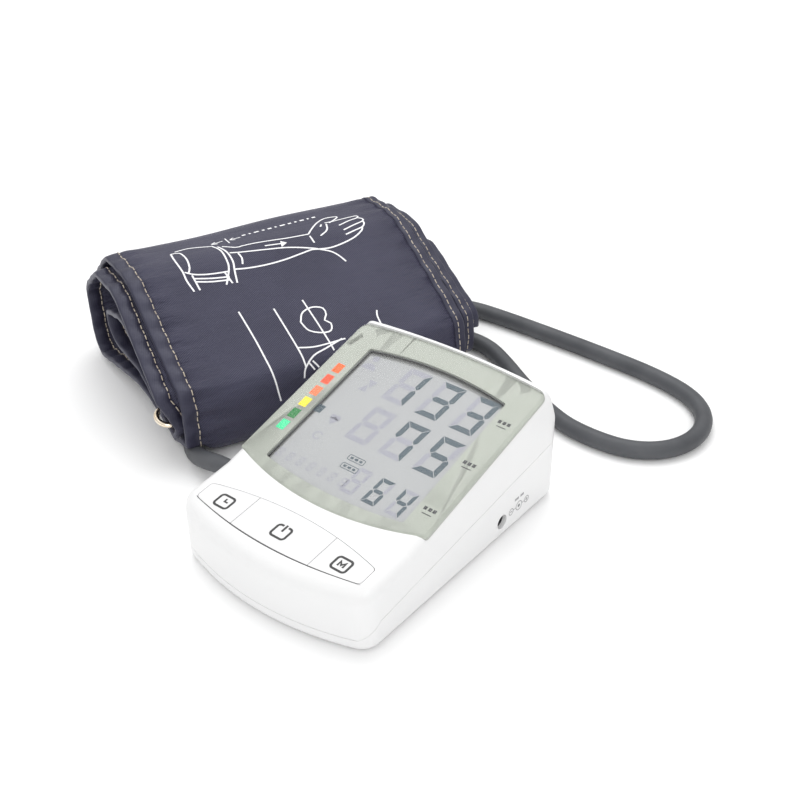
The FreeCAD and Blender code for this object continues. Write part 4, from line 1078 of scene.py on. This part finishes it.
def make_painted_key_gap_shadow(dark):
    """Painted shadow: a thin dark ribbon laid on the keys along their front edge, widest in the middle,
    standing in for the shade in the gap there.
    """
    rise = STRIP_END_Y - STRIP_MIDDLE_Y
    radius = (STRIP_HALF ** 2 + rise ** 2) / (2 * rise)
    reach = math.asin(STRIP_HALF / radius)
    points, faces, count = [], [], 48
    for step in range(count + 1):
        share = 2 * step / count - 1
        angle = reach * share
        half = 0.10 + 0.26 * (1 - share ** 2)
        place, facing = touch_keys(*arc_spot(radius - 1.0, radius, angle))
        for side in (-1, 1):
            spot = in_case(*arc_spot(radius + side * half, radius, angle), 0)
            spot.z = place.z - facing.xy.dot(spot.xy - place.xy) / facing.z + 0.00004
            points.append(spot)
    for step in range(count):
        k = 2 * step
        faces.append([k, k + 2, k + 3, k + 1])
    make_mesh("key_gap_shadow", points, faces, dark, "monitor", smooth=False)


def arc_spot(far, radius, angle):
    """A place at a distance from the centre of the arc along the keys' front edge."""
    return far * math.sin(angle), STRIP_MIDDLE_Y + radius - far * math.cos(angle)


def touch_keys(x, y):
    """The top of the key under a place, or of the middle key where none is, and the way it faces."""
    node = "button_clock" if x < -KEY_SPLIT else "button_memory" if x > KEY_SPLIT else "button_power"
    inner = max(-KEY_REACH, min(KEY_REACH, x))
    if abs(abs(inner) - KEY_SPLIT) < SPLIT_CLEAR:
        inner += SPLIT_STEP if inner > -KEY_SPLIT else -SPLIT_STEP
    start = in_case(inner, y, ABOVE)
    place, facing = touch(node, start, Vector((0, 0, -1)))
    if place == start:
        middle = in_case(0, STRIP_MIDDLE_Y + 4, ABOVE)
        place, facing = touch("button_power", middle, Vector((0, 0, -1)))
    return place, facing


# ---------------------------------------------------------------- everything together

def paint_frame():
    """Fresh materials for every CAD node, chosen by what the node is made of."""
    plastic, keys, dark, grey = white_plastic(), key_plastic(), dark_plastic(), grey_plastic()
    metal, ring, soft, board = steel(), ring_metal(), silicone(), circuit_board()
    border, glass, lens = lens_border(), lcd_glass(), clear_lens()
    wrap, feet, rubber = cell_wrap(), foot_rubber(), hose_rubber()
    by_slot = {
        "white_plastic": plastic, "dark_plastic": dark, "sensor_plastic": grey, "circuit_board": board,
        "silicone": soft, "steel": metal, "pump_plastic": dark, "cell_wrap": wrap, "foot_rubber": feet,
        "ring_metal": ring, "lens_border": border, "lcd_glass": glass, "clear_lens": lens,
        "hose_rubber": rubber, "bladder_rubber": rubber,
    }
    for name, node in NODES.items():
        packed = node.data.materials[0].name.split(".")[0] if node.data.materials else ""
        if packed in by_slot:
            paint(by_slot[packed], name)
    for name in ("button_clock", "button_power", "button_memory"):
        paint(keys, name)
    return rubber


def make_soft_parts():
    nylon, tape, yarn = cuff_nylon(), binding_tape(), thread()
    cuff = make_cuff(nylon)
    make_tape("left_binding", LEFT_EDGE, 1, LEFT_TAPE, tape)
    make_tape("right_binding", RIGHT_EDGE, -1, RIGHT_TAPE, tape)
    make_stitches("left_stitches", LEFT_EDGE, 1, LEFT_SEAM, yarn)
    make_stitches("right_stitches", RIGHT_EDGE, -1, RIGHT_SEAM, yarn)
    make_cuff_print(cuff_ink())
    make_hook_patch(moulded("hook_pile", (0.05, 0.05, 0.075), (0.02, 0.02, 0.035), 0.85, 900.0))


make_camera()
make_studio()
make_hose(paint_frame())
make_soft_parts()
make_display(ink("figure_ink", (0.055, 0.085, 0.115)), ink("idle_ink", (0.335, 0.33, 0.40)))
make_border_print(ink("black_ink", (0.03, 0.03, 0.035)))
# Painted shadow along the display window's left and rear edges.
make_painted_window_shadow()
make_key_signs(ink("key_ink", (0.02, 0.02, 0.02)))
# Painted shadow in the gap along the keys' front edge.
make_painted_key_gap_shadow(ink("gap_shadow", (0.05, 0.05, 0.052)))
make_socket_sign(ink("socket_ink", (0.35, 0.35, 0.36)))
bpy.context.view_layer.update()
